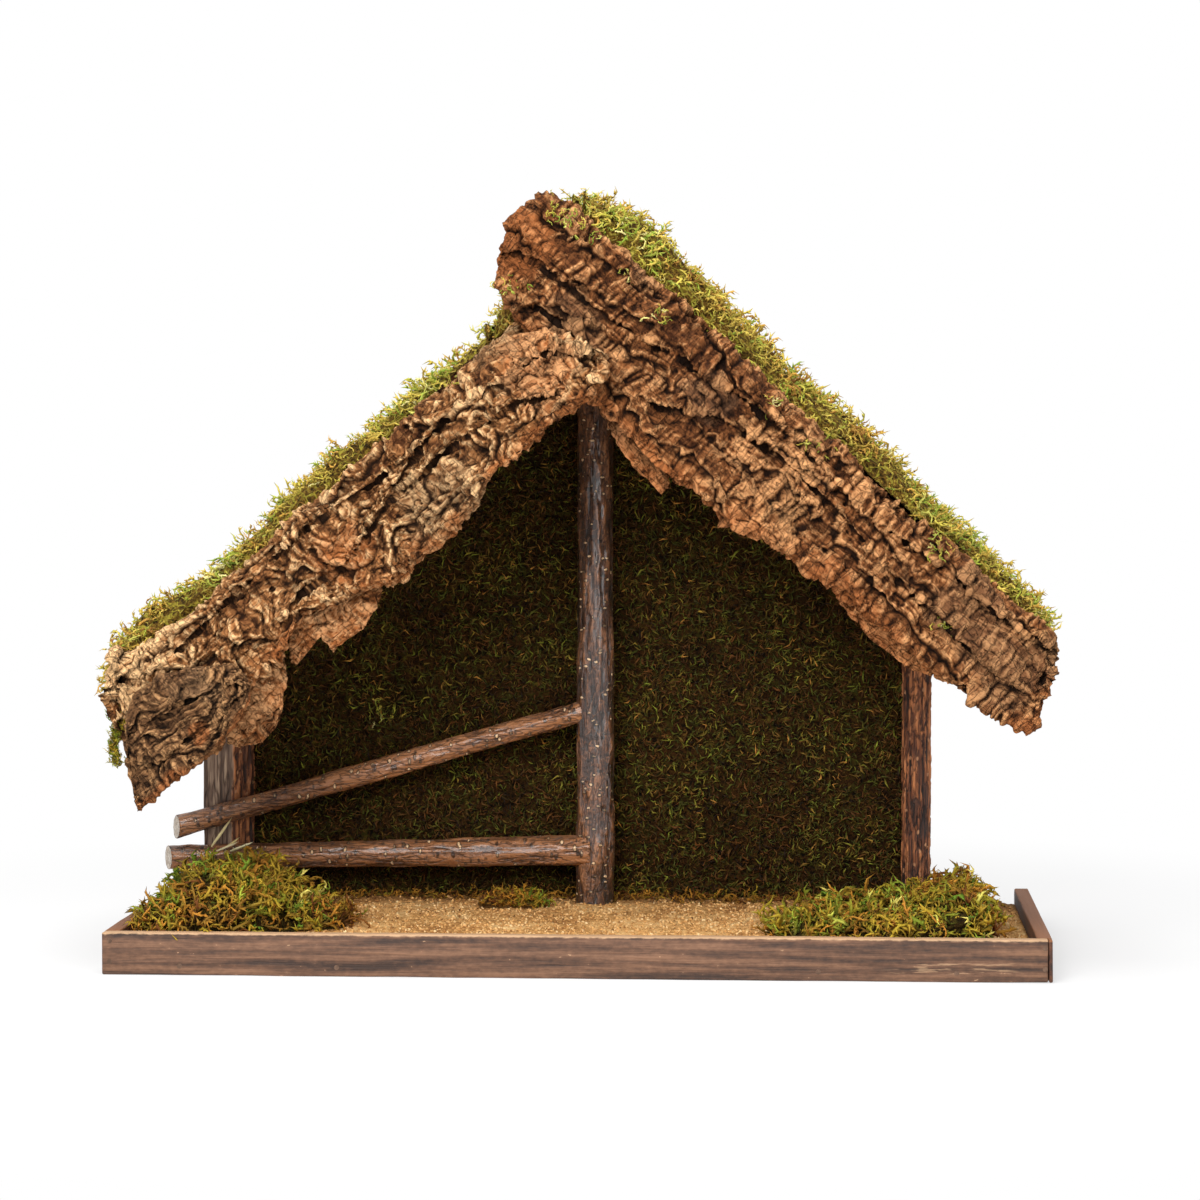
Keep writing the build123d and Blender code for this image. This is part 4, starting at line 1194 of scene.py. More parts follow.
def plain_mesh(name: str, corners: Array, triangles: Array, layers: dict[str, Array]) -> Piece:
    """A mesh of triangles with a colour map that runs by tint and by distance along.

    Args:
        name: The piece's name.
        corners: Points in millimetres.
        triangles: Three corners each.
        layers: The tint and distance along of each corner.

    Returns:
        The piece.
    """
    mesh = bpy.data.meshes.new(name)
    mesh.vertices.add(len(corners))
    move_corners(mesh, corners)
    mesh.loops.add(triangles.size)
    mesh.loops.foreach_set("vertex_index", triangles.astype(np.int32).ravel())
    mesh.polygons.add(len(triangles))
    mesh.polygons.foreach_set("loop_start", np.arange(0, triangles.size, 3, dtype=np.int32))
    store(mesh, layers)
    mesh.update()
    mesh.validate()
    order = triangles.ravel()
    nudge = np.tile(((0.0, 0.0), (MAP_NUDGE, 0.0), (0.0, MAP_NUDGE)), (len(triangles), 1))
    shares = np.column_stack([layers["tint"][order], layers["along"][order]])
    colour_map = shares * (1.0 - 2.0 * MAP_MARGIN) + MAP_MARGIN + nudge
    mesh.uv_layers.new(name="OFBake").data.foreach_set("uv", colour_map.astype(np.float32).ravel())
    piece = bpy.data.objects.new(name, mesh)
    bpy.context.scene.collection.objects.link(piece)
    return piece


@dataclass(frozen=True)
class StrandFinish:
    """Colours of strands or crumbs by tint, and how much of the colour is left at their roots under painted
    shade.
    """

    name: str
    stops: tuple[Stop, ...]
    root: float = 0.45
    rough: float = 0.7
    root_shade: Colour = (0.012, 0.012, 0.004, 1.0)

    def material(self) -> Material:
        """Colour by tint, with painted shade that darkens it towards the root."""
        shade = Shade(self.name)
        colour = shade.ramp(shade.layer("tint"), list(self.stops))
        # Painted shade towards the roots.
        root_shade = (1.0 - shade.layer("along")).step(0.2, 1.0) * (1.0 - self.root)
        colour = shade.blend(root_shade, colour, self.root_shade)
        return shade.finish(colour, self.rough, Specular_IOR_Level=0.25)


@dataclass(frozen=True)
class MatFinish:
    """Colours of the matted moss under the loose strands."""

    name: str
    # The dark colour is the mat's own and also paints shade between the strands above it.
    dark: Colour
    green: Colour
    brown: Colour
    fleck: Colour

    def material(self) -> Material:
        """Tangled dark moss with brown and green threads in it."""
        shade = Shade(self.name)
        tangle = shade.grain(even(420.0), detail=6.0, rough=0.75)
        drift = shade.grain(even(38.0), detail=3.0)
        colour = shade.ramp(tangle, [(0.42, self.dark), (0.54, self.brown), (0.68, self.green)])
        colour = shade.blend((1.0 - drift).step(0.5, 0.66) * 0.5, colour, self.dark)
        brown = shade.threads(even(170.0), 0.05, (0.4, 0.9, 0.3))
        green = shade.threads(even(140.0), 0.05, (1.1, 0.2, 0.7))
        fleck = shade.threads(even(120.0), 0.022, (0.2, 0.5, 1.3)) * drift.step(0.4, 0.6)
        colour = shade.blend(brown * 0.75, colour, self.brown)
        colour = shade.blend(green * 0.7, colour, self.green)
        colour = shade.blend(fleck * 0.8, colour, self.fleck)
        height = tangle + (brown + green + fleck) * 0.5
        return shade.finish(colour, 0.9, height, depth=0.0022, Specular_IOR_Level=0.1)


MOSS_SHAPES = (
    StrandShape((14.0, 30.0, 42.0, 50.0, 56.0), (0.03, 0.036, 0.036, 0.032, 0.028, 0.016), 5, 0.17, 0.05),
    StrandShape((-16.0, 46.0, -54.0, 40.0, 50.0), (0.03, 0.038, 0.036, 0.034, 0.028, 0.016), 4, 0.2, 0.05),
    StrandShape((26.0, 46.0, 56.0, 60.0, 40.0), (0.028, 0.034, 0.038, 0.034, 0.028, 0.018), 5, 0.16, 0.055),
    StrandShape((0.0, -34.0, 58.0, 44.0, -30.0), (0.03, 0.036, 0.034, 0.034, 0.028, 0.016), 4, 0.2, 0.045),
    StrandShape((18.0, -36.0, -46.0, 60.0, 44.0), (0.028, 0.036, 0.038, 0.03, 0.026, 0.016), 4, 0.18, 0.055),
)
FIBRE_SHAPES = (
    StrandShape((-24.0, 52.0), (0.04, 0.05, 0.012)),
    StrandShape((30.0, -64.0), (0.036, 0.055, 0.012)),
    StrandShape((-34.0, 84.0), (0.04, 0.05, 0.012)),
    StrandShape((6.0, 40.0), (0.04, 0.046, 0.012)),
)
CRUMB_SHAPES = (
    CrumbShape((0.9, 0.6, 0.55), 3),
    CrumbShape((0.5, 0.35, 1.1), 5),
    CrumbShape((0.8, 0.8, 0.4), 8),
)


@dataclass
class MossPatch:
    """One mat or mound of moss: which node it fills, and how its strands grow, in millimetres."""

    node: str
    strands: int
    seed: int
    length: Span = (4.0, 8.5)
    lean: Point = (0.0, 0.0, 0.3)
    wild: float = 0.6
    lump: float = 1.8
    spring_green: float = 0.0
    step: float = 2.2
    count: int = 110
    sink: float = 2.4
    clump: float = 15.0
    upright: float = 0.55
    girth: Span = (0.75, 1.35)
    lump_size: float = 9.0
    drift_size: float = 17.0
    root_depth: float = 0.6

    def rings(self) -> Array:
        """The lumpy mat's rings of points."""
        loft = Loft(self.node, self.step, self.count, quiet=(0.0, -1.0), quiet_share=0.3, hollows=True)
        rings = loft.rings()
        bumps = fractal(rings / self.lump_size, self.seed) * self.lump - self.sink
        top = rise(outward_of(rings)[..., 2], -0.3, 0.1)
        return push_out(rings, bumps * top)

    def grow(self, rings: Array, shapes: list[Template]) -> Piece:
        """Strands over the mat's upper and outer faces.

        Args:
            rings: The mat's points.
            shapes: Strand shapes.

        Returns:
            The strands as one piece.
        """
        chance = np.random.default_rng(self.seed)
        spots = pick_spots(rings, self.strands, chance)
        low = rings[..., 2].min()
        spots = spots.only_where((spots.outward[:, 2] > -0.35) & (spots.places[:, 2] > low + 1.0))
        clump = fractal(spots.places / self.clump, self.seed + 7)
        dense = chance.random(len(clump)) < 0.72 + 0.75 * clump
        spots, clump = spots.only_where(dense), clump[dense]
        count = len(clump)
        stray = self.wild * chance.normal(size=(count, 3))
        headings = unit(spots.outward * self.upright + np.array(self.lean) + stray)
        lengths = chance.uniform(*self.length, count) * (1.0 + 0.45 * clump)
        bed_top = box_of("ground_bed")[1][2]
        buried = spots.places[:, 2] + lengths * headings[:, 2] < bed_top
        headings[buried, 2] = np.abs(headings[buried, 2])
        drift = fractal(spots.places / self.drift_size, self.seed + 5)
        tints = np.clip(0.5 + self.spring_green + 0.3 * drift + chance.normal(0.0, 0.2, count), 0.0, 1.0)
        roots = spots.places - self.root_depth * spots.outward
        crop = Crop(roots, headings, lengths, chance.uniform(*self.girth, count), tints)
        return sow(f"{self.node}_strands", shapes, crop, chance)


@dataclass(frozen=True)
class LooseStrands:
    """How loose strands lie: their headings, tint with its spread, length in millimetres and girth."""

    name: str
    lean: Point
    tint: Span
    length: Span
    girth: Span
    wild: Point = even(1.0)

    def strew(self, places: Array, shapes: list[Template], chance: Chance) -> Piece:
        """Sets one strand at each place.

        Args:
            places: Where they start, in millimetres.
            shapes: Strand shapes.
            chance: Where the random numbers come from.

        Returns:
            The strands as one piece.
        """
        count = len(places)
        headings = unit(chance.normal(size=(count, 3)) * self.wild + self.lean)
        tints = np.clip(chance.normal(*self.tint, count), 0.0, 1.0)
        lengths = chance.uniform(*self.length, count)
        crop = Crop(places, headings, lengths, chance.uniform(*self.girth, count), tints)
        return sow(self.name, shapes, crop, chance)


@dataclass
class Moss:
    """All the leafy moss: on the roof, on the ridge and on the ground."""

    leaf: StrandFinish = StrandFinish("moss_leaf", (
        (0.0, tint(150, 104, 44)), (0.14, tint(214, 164, 72)), (0.3, tint(178, 148, 58)),
        (0.46, tint(220, 194, 88)), (0.62, tint(190, 178, 68)), (0.78, tint(138, 160, 50)),
        (0.9, tint(214, 208, 100)), (1.0, tint(238, 226, 150))), 0.55)
    mat: MatFinish = MatFinish("moss_mat", tint(38, 30, 9), tint(182, 168, 62), tint(122, 90, 34),
                               tint(222, 204, 100))
    ground_leaf: StrandFinish = StrandFinish("ground_moss_leaf", (
        (0.0, tint(108, 62, 18)), (0.16, tint(200, 138, 46)), (0.34, tint(126, 96, 25)),
        (0.5, tint(186, 154, 44)), (0.66, tint(138, 132, 33)), (0.8, tint(94, 124, 29)),
        (0.92, tint(180, 190, 62)), (1.0, tint(232, 214, 108))), 0.22)
    ground_mat: MatFinish = MatFinish("ground_moss_mat", tint(24, 18, 6), tint(78, 72, 22), tint(66, 46, 16),
                                      tint(110, 96, 34))
    foot_mat: MatFinish = MatFinish("foot_moss_mat", tint(104, 72, 38), tint(150, 114, 60), tint(136, 94, 48),
                                    tint(198, 152, 92))
    straw: StrandFinish = StrandFinish("straw", ((0.0, tint(230, 204, 136)), (1.0, tint(252, 240, 196))), 1.0)

    tuft: LooseStrands = LooseStrands("bark_tufts", (0.0, -0.7, 0.1), (0.72, 0.18), (4.0, 8.0), (0.8, 1.3))
    tuft_places: tuple[Span, ...] = (
        (39.5, 312.0), (94.0, 272.0), (114.0, 252.0), (171.7, 204.0), (174.7, 166.7), (-31.8, 326.0),
        (-58.0, 282.0), (-12.0, 363.0), (-4.0, 359.0), (4.0, 352.0), (24.0, 330.0))
    tuft_strands: int = 16
    tuft_spread: Point = (3.4, 0.5, 3.4)
    tuft_seed: int = 71
    sprig: Point = (-114.0, 79.0, 112.0)
    rope: LooseStrands = LooseStrands("hanging_moss", (0.0, -0.2, -1.8), (0.6, 0.14), (3.5, 6.0), (1.3, 2.0))
    rope_top: Point = (-225.0, -70.0, 128.0)
    rope_foot: Point = (-221.5, -72.0, 99.0)
    rope_sway: Point = (2.0, 0.6, 0.0)
    rope_strands: int = 280
    rope_seed: int = 72
    scraps: LooseStrands = LooseStrands("wall_foot_litter", (0.0, 0.0, 0.3), (0.16, 0.2), (5.0, 11.0),
                                        (0.7, 1.2), (1.0, 1.0, 0.45))
    scrap_strands: int = 900
    scrap_margin: float = 8.0
    scrap_gap: float = 2.0
    scrap_reach: float = 24.0
    scrap_heap: float = 22.0
    scrap_seed: int = 74
    straw_roots: tuple[Point, ...] = (
        (-196.0, 38.0, 46.0), (-193.0, 36.0, 44.0), (-190.0, 40.0, 45.0), (-186.0, 37.0, 44.0))
    straw_lean: Point = (0.75, -0.25, 0.75)
    straw_length: Span = (12.0, 21.0)
    straw_girth: float = 1.5
    straw_seed: int = 73

    def patches(self) -> list[MossPatch]:
        """Every patch of leafy moss."""
        down_right = (0.6, -0.15, -0.35)
        down_left = (-0.6, -0.15, -0.35)
        mounds = [MossPatch(f"{side}_ground_moss", 4300, seed, (9.0, 18.0), (0.0, -0.25, 0.3), 0.9, 3.6,
                            sink=4.4, clump=11.0, girth=(0.9, 1.5))
                  for side, seed in (("left", 14), ("right", 15))]
        return [
            MossPatch("right_roof_moss", 8600, 11, (6.0, 13.0), down_right, count=150),
            MossPatch("left_roof_moss", 8600, 12, (6.0, 13.0), down_left, count=150),
            MossPatch("ridge_moss", 2300, 13, (6.0, 12.0), (0.0, -0.1, 0.0), 1.2, count=130),
            *mounds,
            MossPatch("pole_foot_moss", 900, 16, (6.0, 12.0), (0.0, -0.2, 0.4), 0.8, 0.8, -0.2, 1.6, 60, 3.4,
                      70.0),
        ]

    def build(self) -> None:
        """Models and dresses the mats and their strands."""
        roof = (self.leaf.material(), self.mat.material())
        ground = (self.ground_leaf.material(), self.ground_mat.material())
        foot = (ground[0], self.foot_mat.material())
        looks = {"left_ground_moss": ground, "right_ground_moss": ground, "pole_foot_moss": foot}
        shapes = [shape.model() for shape in MOSS_SHAPES]
        for patch in self.patches():
            leaf, mat = looks.get(patch.node, roof)
            rings = patch.rings()
            settle(roll_up(f"{patch.node}_mat", rings, {}), mat, "moss", patch.node)
            settle(patch.grow(rings, shapes), leaf, "moss")
        settle(self.tufts(shapes), roof[0], "moss")
        settle(self.hanging(shapes), ground[0], "moss")
        settle(self.litter(shapes), ground[0], "moss")
        settle(self.blades(), self.straw.material(), "moss")

    @staticmethod
    def bark_front(x: float, z: float) -> Array:
        """The point on the front bark that a needle from the front would touch.

        Args:
            x: Place across, in millimetres.
            z: Height, in millimetres.

        Returns:
            The point in millimetres.
        """
        hits = []
        for name in ("left_front_cork", "right_front_cork"):
            found, point, _, _ = bpy.data.objects[name].ray_cast((x * MM, -0.3, z * MM), BACKWARDS)
            if found:
                hits.append(np.array(point) / MM)
        return min(hits, key=lambda point: point[1])

    def tufts(self, shapes: list[Template]) -> Piece:
        """Small tufts of moss caught on the front bark, and a sprig on the wall."""
        chance = np.random.default_rng(self.tuft_seed)
        roots = [self.bark_front(x, z) for x, z in self.tuft_places] + [np.array(self.sprig)]
        roots = np.repeat(roots, self.tuft_strands, axis=0)
        places = roots + chance.normal(size=roots.shape) * self.tuft_spread
        return self.tuft.strew(places, shapes, chance)

    def hanging(self, shapes: list[Template]) -> Piece:
        """A rope of moss that hangs from the left eave."""
        chance = np.random.default_rng(self.rope_seed)
        share = chance.random((self.rope_strands, 1))
        top, foot = np.array(self.rope_top), np.array(self.rope_foot)
        sway = np.sin(share * math.tau) * self.rope_sway
        places = top + share * (foot - top) + sway + chance.normal(size=(self.rope_strands, 3))
        return self.rope.strew(places, shapes, chance)

    def litter(self, shapes: list[Template]) -> Piece:
        """Brown scraps of moss along the foot of the wall."""
        chance = np.random.default_rng(self.scrap_seed)
        count = self.scrap_strands
        low, high = box_of("wall_moss")
        x = chance.uniform(low[0] + self.scrap_margin, high[0] - self.scrap_margin, count)
        line = np.stack([x, 0.0 * x, 0.0 * x], axis=-1)
        heaped = 0.5 + 0.5 * soft_noise(line / self.scrap_heap, self.scrap_seed + 1)
        y = low[1] - self.scrap_gap - self.scrap_reach * heaped * chance.random(count) ** 2
        places = np.stack([x, y, np.full(count, low[2] - 0.3)], axis=-1)
        return self.scraps.strew(places, shapes, chance)

    def blades(self) -> Piece:
        """A few blades of dry straw stuck in the left mound."""
        chance = np.random.default_rng(self.straw_seed)
        roots = np.array(self.straw_roots)
        count = len(roots)
        headings = unit(np.array(self.straw_lean) + 0.22 * chance.normal(size=(count, 3)))
        lengths = chance.uniform(*self.straw_length, count)
        crop = Crop(roots, headings, lengths, np.full(count, self.straw_girth), chance.random(count))
        shapes = [StrandShape((2.0, 3.0, 4.0), (0.02, 0.032, 0.028, 0.008)).model()]
        return sow("straw_blades", shapes, crop, chance)


@dataclass
class MossWall:
    """The back wall's lining of dark matted moss."""

    node: str = "wall_moss"
    step: float = 2.8
    count: int = 230
    fibres: int = 12400
    seed: int = 21
    fibre_look: StrandFinish = StrandFinish("wall_fibre", (
        (0.0, tint(34, 18, 6)), (0.22, tint(112, 68, 25)), (0.42, tint(56, 50, 14)), (0.6, tint(92, 96, 28)),
        (0.76, tint(124, 86, 34)), (0.9, tint(138, 148, 48)), (1.0, tint(190, 132, 58))), 0.55)
    lump: float = 1.8
    lump_size: float = 7.0
    knot: float = 0.9
    knot_size: float = 3.0
    sink: float = 1.6
    drift_size: float = 24.0
    root_depth: float = 0.5
    fibre_length: Span = (4.5, 9.5)
    fibre_girth: Span = (0.7, 1.4)
    mat: MatFinish = MatFinish("wall_mat", tint(9, 6, 2), tint(62, 58, 17), tint(66, 40, 14),
                               tint(112, 96, 34))

    def build(self) -> None:
        """Models and dresses the lining."""
        rings = Loft(self.node, self.step, self.count, quiet_share=0.12).rings()
        front = rise(-outward_of(rings)[..., 1], 0.3, 0.8)
        lumps = self.lump * fractal(rings / self.lump_size, self.seed)
        knots = self.knot * fractal(rings / self.knot_size, self.seed + 2)
        rings = push_out(rings, front * (lumps + knots - self.sink))
        settle(roll_up("wall_moss_mat", rings, {}), self.mat.material(), "moss", self.node)
        shapes = [shape.model() for shape in FIBRE_SHAPES]
        look = self.fibre_look.material()
        for side in Side:
            settle(self.tangle(rings, side, shapes), look, "moss")

    def tangle(self, rings: Array, side: Side, shapes: list[Template]) -> Piece:
        """Loose fibres over one bay of the lining.

        Args:
            rings: The lining's points.
            side: Which bay.
            shapes: Fibre shapes.

        Returns:
            The fibres as one piece.
        """
        chance = np.random.default_rng(self.seed + side.value)
        spots = pick_spots(rings, 5 * self.fibres, chance)
        spots = spots.only_where((spots.outward[:, 1] < -0.4) & (spots.places[:, 0] * side.value > 0.0))
        spots = spots.only_where(np.arange(len(spots.places)) < self.fibres)
        count = len(spots.places)
        headings = unit(spots.outward * 0.5 + 0.8 * chance.normal(size=(count, 3)) * (1.0, 0.5, 1.0))
        drift = fractal(spots.places / self.drift_size, self.seed + 4)
        tints = np.clip(0.45 + 0.3 * drift + chance.normal(0.0, 0.24, count), 0.0, 1.0)
        lengths = chance.uniform(*self.fibre_length, count)
        roots = spots.places - self.root_depth * spots.outward
        crop = Crop(roots, headings, lengths, chance.uniform(*self.fibre_girth, count), tints)
        return sow(f"wall_moss_fibres_{side.name.lower()}", shapes, crop, chance)


# Branches and posts


@dataclass(frozen=True)
class TwigFinish:
    """Dark smooth bark with pale pores under varnish, and pale wood where a branch is sawn."""

    name: str = "twig"
    deep: Colour = tint(24, 12, 6)
    brown: Colour = tint(86, 51, 29)
    grey: Colour = tint(166, 112, 72)
    pore: Colour = tint(236, 198, 152)
    wood: Colour = tint(222, 210, 194)
    ring: Colour = tint(182, 160, 136)
    gloss: float = 0.42
    pores: Point = (190.0, 190.0, 320.0)
    veins: Point = (420.0, 420.0, 90.0)
    curls: Point = (230.0, 230.0, 110.0)
    varnish: float = 1.0

    def material(self) -> Material:
        """Bark by the twig's own relief, and sawn ends by the cut kept at the vertices."""
        shade = Shade(self.name)
        tone = shade.layer("tone")
        fine = shade.grain(even(620.0))
        stops = [(0.2, self.deep), (0.55, self.brown), (0.95, self.grey)]
        colour = shade.ramp(tone + (fine - 0.5) * 0.7, stops)
        spot = shade.dots(self.pores)
        veins = shade.threads(self.veins, 0.06)
        some = shade.grain(even(95.0), detail=2.0).step(0.44, 0.54)
        curls = shade.threads(self.curls, 0.03, (0.3, 0.2, 0.4))
        colour = shade.blend(curls * 0.4, colour, self.grey)
        colour = shade.blend(veins * 0.65, colour, self.deep)
        # Dark rims round the pores: painted shadow beside each raised pore.
        colour = shade.blend((1.0 - spot.step(0.22, 0.38)) * 0.8, colour, self.deep)
        colour = shade.blend((1.0 - spot.step(0.14, 0.23)) * some, colour, self.pore)
        sawn = shade.blend(fine.step(0.4, 0.62), self.wood, self.ring)
        cut = shade.layer("cut").step(0.3, 0.7)
        colour = shade.blend(cut, colour, sawn)
        rough = self.gloss + (fine - 0.5) * 0.3 + cut * 0.4
        height = fine - veins * 0.5 - spot.step(0.1, 0.3) * 0.4
        return shade.finish(colour, rough, height, depth=0.0009, Coat_Weight=self.varnish, Coat_Roughness=0.1)


@dataclass
class Branch:
    """A round branch between two points, in millimetres, sawn off at its start if it has a cut."""

    node: str
    start: Point
    end: Point
    start_radius: float
    end_radius: float
    seed: int
    cut: Point | None = None
    step: float = 0.8
    around: int = 72
    # How much paler the bark is; on the fence rails partly painted light.
    lift: float = 0.0
    wrinkle: float = 0.42
    wrinkle_size: Point = (1.6, 1.6, 11.0)
    swell: float = 0.5
    swell_size: Point = (14.0, 14.0, 34.0)
    sink: float = 0.3
    cap_shares: tuple[float, ...] = (0.0, 0.35, 0.7, 0.94)

    def rings(self) -> tuple[Array, Array]:
        """Rings along the branch with wrinkles and swellings.

        Returns:
            The points and the tones that the finish reads.
        """
        start, end = np.array(self.start), np.array(self.end)
        heading = unit(end - start)
        length = float(np.linalg.norm(end - start))
        side = unit(np.cross(heading, (0.31, 0.73, 0.61)))
        up = np.cross(heading, side)
        lead = 0.0 if self.cut is None else self.start_radius
        along = np.linspace(-lead, length, round((length + lead) / self.step) + 1)[:, None]
        turn = np.arange(self.around)[None] / self.around * math.tau
        round_way = np.cos(turn)[..., None] * side + np.sin(turn)[..., None] * up
        radius = self.start_radius + (self.end_radius - self.start_radius) * along / length
        flat = np.stack(np.broadcast_arrays(np.cos(turn) * radius, np.sin(turn) * radius, along), axis=-1)
        wrinkle = fractal(flat / self.wrinkle_size, self.seed)
        swell = fractal(flat / self.swell_size, self.seed + 5, 2)
        height = self.wrinkle * wrinkle + self.swell * swell - self.sink
        middle = start + along[..., None] * heading
        points = middle + (radius + height)[..., None] * round_way
        tones = 0.45 + self.lift + 0.3 * wrinkle + 0.3 * swell
        if self.cut is not None:
            normal = unit(np.array(self.cut))
            beyond = np.maximum(((points - start) @ normal), 0.0)
            points = points - (beyond / (heading @ normal))[..., None] * heading
        return points, tones

    def build(self) -> Piece:
        """The branch's mesh, closed at both ends."""
        points, tones = self.rings()
        head = [drawn_in(points[0], share) for share in self.cap_shares]
        tail = [drawn_in(points[-1], share) for share in self.cap_shares[::-1]]
        caps = np.ones((len(self.cap_shares), self.around))
        layers = {"tone": np.concatenate([caps * 0.5, tones, caps * 0.5]),
                  "cut": np.concatenate([caps, np.zeros(points.shape[:2]), caps])}
        return roll_up(f"{self.node}_branch", np.concatenate([head, points, tail]), layers)


@dataclass
class Timbers:
    """The pole, the fence and the two posts."""

    twig: TwigFinish = TwigFinish()
    level_twig: TwigFinish = TwigFinish("level_twig", pores=(290.0, 160.0, 160.0), veins=(90.0, 420.0, 420.0),
                                         curls=(110.0, 230.0, 230.0), varnish=0.3)
    cut_lean: float = math.radians(25.0)
    rail_shares: Span = (0.2, 0.8)
    cut_inset: float = 2.5
    pole_overlap: float = 2.0
    pole_taper_share: float = 0.91
    bare_share: float = 0.64
    post_grain: Point = (1.5, 1.5, 30.0)
    post_sway: Point = (5.0, 5.0, 9.0)
    post_flake: Point = (2.2, 2.2, 15.0)
    post_border: Point = (6.0, 6.0, 14.0)

    @staticmethod
    def disc(node: str, place: float) -> tuple[Point, float]:
        """Middle and radius of a fence rail where a plane of equal X cuts it.

        Args:
            node: The rail's CAD node.
            place: Where the plane stands.

        Returns:
            The middle of the section and half its width.
        """
        loft = Loft(node, 1.0, 8)
        outline = loft.outline(loft.triangles(), place)
        low, high = outline.min(axis=0), outline.max(axis=0)
        middle = (low + high) / 2.0
        return (place, float(middle[0]), float(middle[1])), float(high[0] - low[0]) / 2.0

    def fence_rail(self, node: str, seed: int, lift: float) -> Branch:
        """A fence rail from its sawn left end into the pole.

        Args:
            node: The rail's CAD node.
            seed: Which bark it has.
            lift: How much paler it is than the pole, partly as its own bark and partly as painted light.

        Returns:
            The branch.
        """
        low, high = box_of(node)
        near, far = low[0] + np.array(self.rail_shares) * (high[0] - low[0])
        (first, first_radius), (second, second_radius) = self.disc(node, near), self.disc(node, far)
        slope = (np.array(second) - first) / (far - near)
        taper = (second_radius - first_radius) / (far - near)
        start = np.array(first) + slope * (low[0] + self.cut_inset - near)
        end = np.array(first) + slope * (-self.pole_overlap - near)
        cut = (-math.cos(self.cut_lean), -math.sin(self.cut_lean), 0.0)
        return Branch(node, tuple(start), tuple(end), first_radius + taper * (start[0] - near),
                      first_radius + taper * (end[0] - near), seed, cut, around=64, lift=lift)

    def pole(self) -> Branch:
        """The pole under the ridge."""
        low, high = box_of("centre_pole")
        x, y, _ = (low + high) / 2.0
        radius = (high[0] - low[0]) / 2.0
        foot, top = (x, y, low[2]), (x, y, high[2])
        return Branch("centre_pole", foot, top, radius, radius * self.pole_taper_share, 31, around=80)

    def post(self, node: str, seed: int, bare_below: float) -> Piece:
        """A split post with bark on its right and bare weathered wood on its left.

        Args:
            node: The post's CAD node.
            seed: Which grain it has.
            bare_below: X left of which the wood is bare.

        Returns:
            The post's mesh.
        """
        rings = Loft(node, 0.9, 110, Axis.Z, quiet=(0.0, 1.0), quiet_share=0.3).rings()
        grain = fractal(rings / self.post_grain, seed)
        ragged = rings + 1.5 * fractal(rings / self.post_sway, seed + 2)[..., None]
        flakes = cells(ragged / self.post_flake, seed + 4)
        border = rings[..., 0] + 1.2 * fractal(rings / self.post_border, seed + 8)
        bark = rise(border, bare_below - 0.6, bare_below + 0.6)
        flake_top = rise(flakes.edge, 0.0, 0.25)
        flaky = 0.5 * flakes.pick + 0.7 * flake_top - 0.9 + 0.3 * grain
        height = (1.0 - bark) * 0.35 * grain + bark * flaky
        tone = 0.5 + 0.35 * grain + bark * (0.4 * flakes.pick - 0.2)
        # The flake borders are kept dark, as cracks and as painted shade in their recesses.
        layers = {"tone": tone, "bare": 1.0 - bark, "crack": bark * (1.0 - flake_top)}
        return roll_up(f"{node}_split", push_out(rings, height - 0.1), layers)

    def post_look(self) -> Material:
        """Weathered split wood and flaky bark, told apart by what the mesh keeps."""
        shade = Shade("split_post")
        grain = shade.grain((900.0, 900.0, 40.0), detail=5.0)
        fissure = shade.threads((260.0, 260.0, 38.0), 0.06)
        streak = shade.grain((330.0, 330.0, 20.0), detail=3.0)
        tone = shade.layer("tone") + (grain - 0.5) * 1.1 + (streak - 0.5) * 0.8 - fissure * 0.2 + 0.1
        steps = (0.15, 0.5, 0.85)
        wood_tints = (tint(40, 27, 20), tint(110, 85, 68), tint(188, 160, 134))
        bark_tints = (tint(34, 16, 8), tint(112, 62, 34), tint(198, 126, 76))
        wood = shade.ramp(tone, list(zip(steps, wood_tints)))
        bark = shade.ramp(tone, list(zip(steps, bark_tints)))
        colour = shade.blend(shade.layer("bare"), bark, wood)
        # Dark flake borders: cracks, and painted shade in the recesses.
        colour = shade.blend(shade.layer("crack").step(0.3, 0.9) * 0.6, colour, tint(18, 11, 8))
        flecks = (1.0 - shade.dots((240.0, 240.0, 150.0)).step(0.1, 0.22)) * (1.0 - shade.layer("bare"))
        colour = shade.blend(flecks * 0.8, colour, tint(196, 142, 100))
        return shade.finish(colour, 0.6 + grain * 0.2, grain - fissure * 0.6, depth=0.0010)

    def build(self) -> None:
        """Models and dresses the timbers."""
        upright, level = self.twig.material(), self.level_twig.material()
        # The rails' lift is partly painted light, standing in for light that the roof keeps off them.
        branches = [(self.pole(), upright), (self.fence_rail("upper_fence_rail", 32, 0.45), level),
                    (self.fence_rail("lower_fence_rail", 33, 0.4), level)]
        for branch, twig in branches:
            settle(branch.build(), twig, "branch", branch.node)
        look = self.post_look()
        low, high = box_of("left_post")
        nowhere = -1000.0
        bare = {"left_post": low[0] + self.bare_share * (high[0] - low[0]), "right_post": nowhere}
        for seed, (node, bare_below) in enumerate(bare.items(), start=41):
            settle(self.post(node, seed, bare_below), look, "branch", node)


# Tray and crumb bed


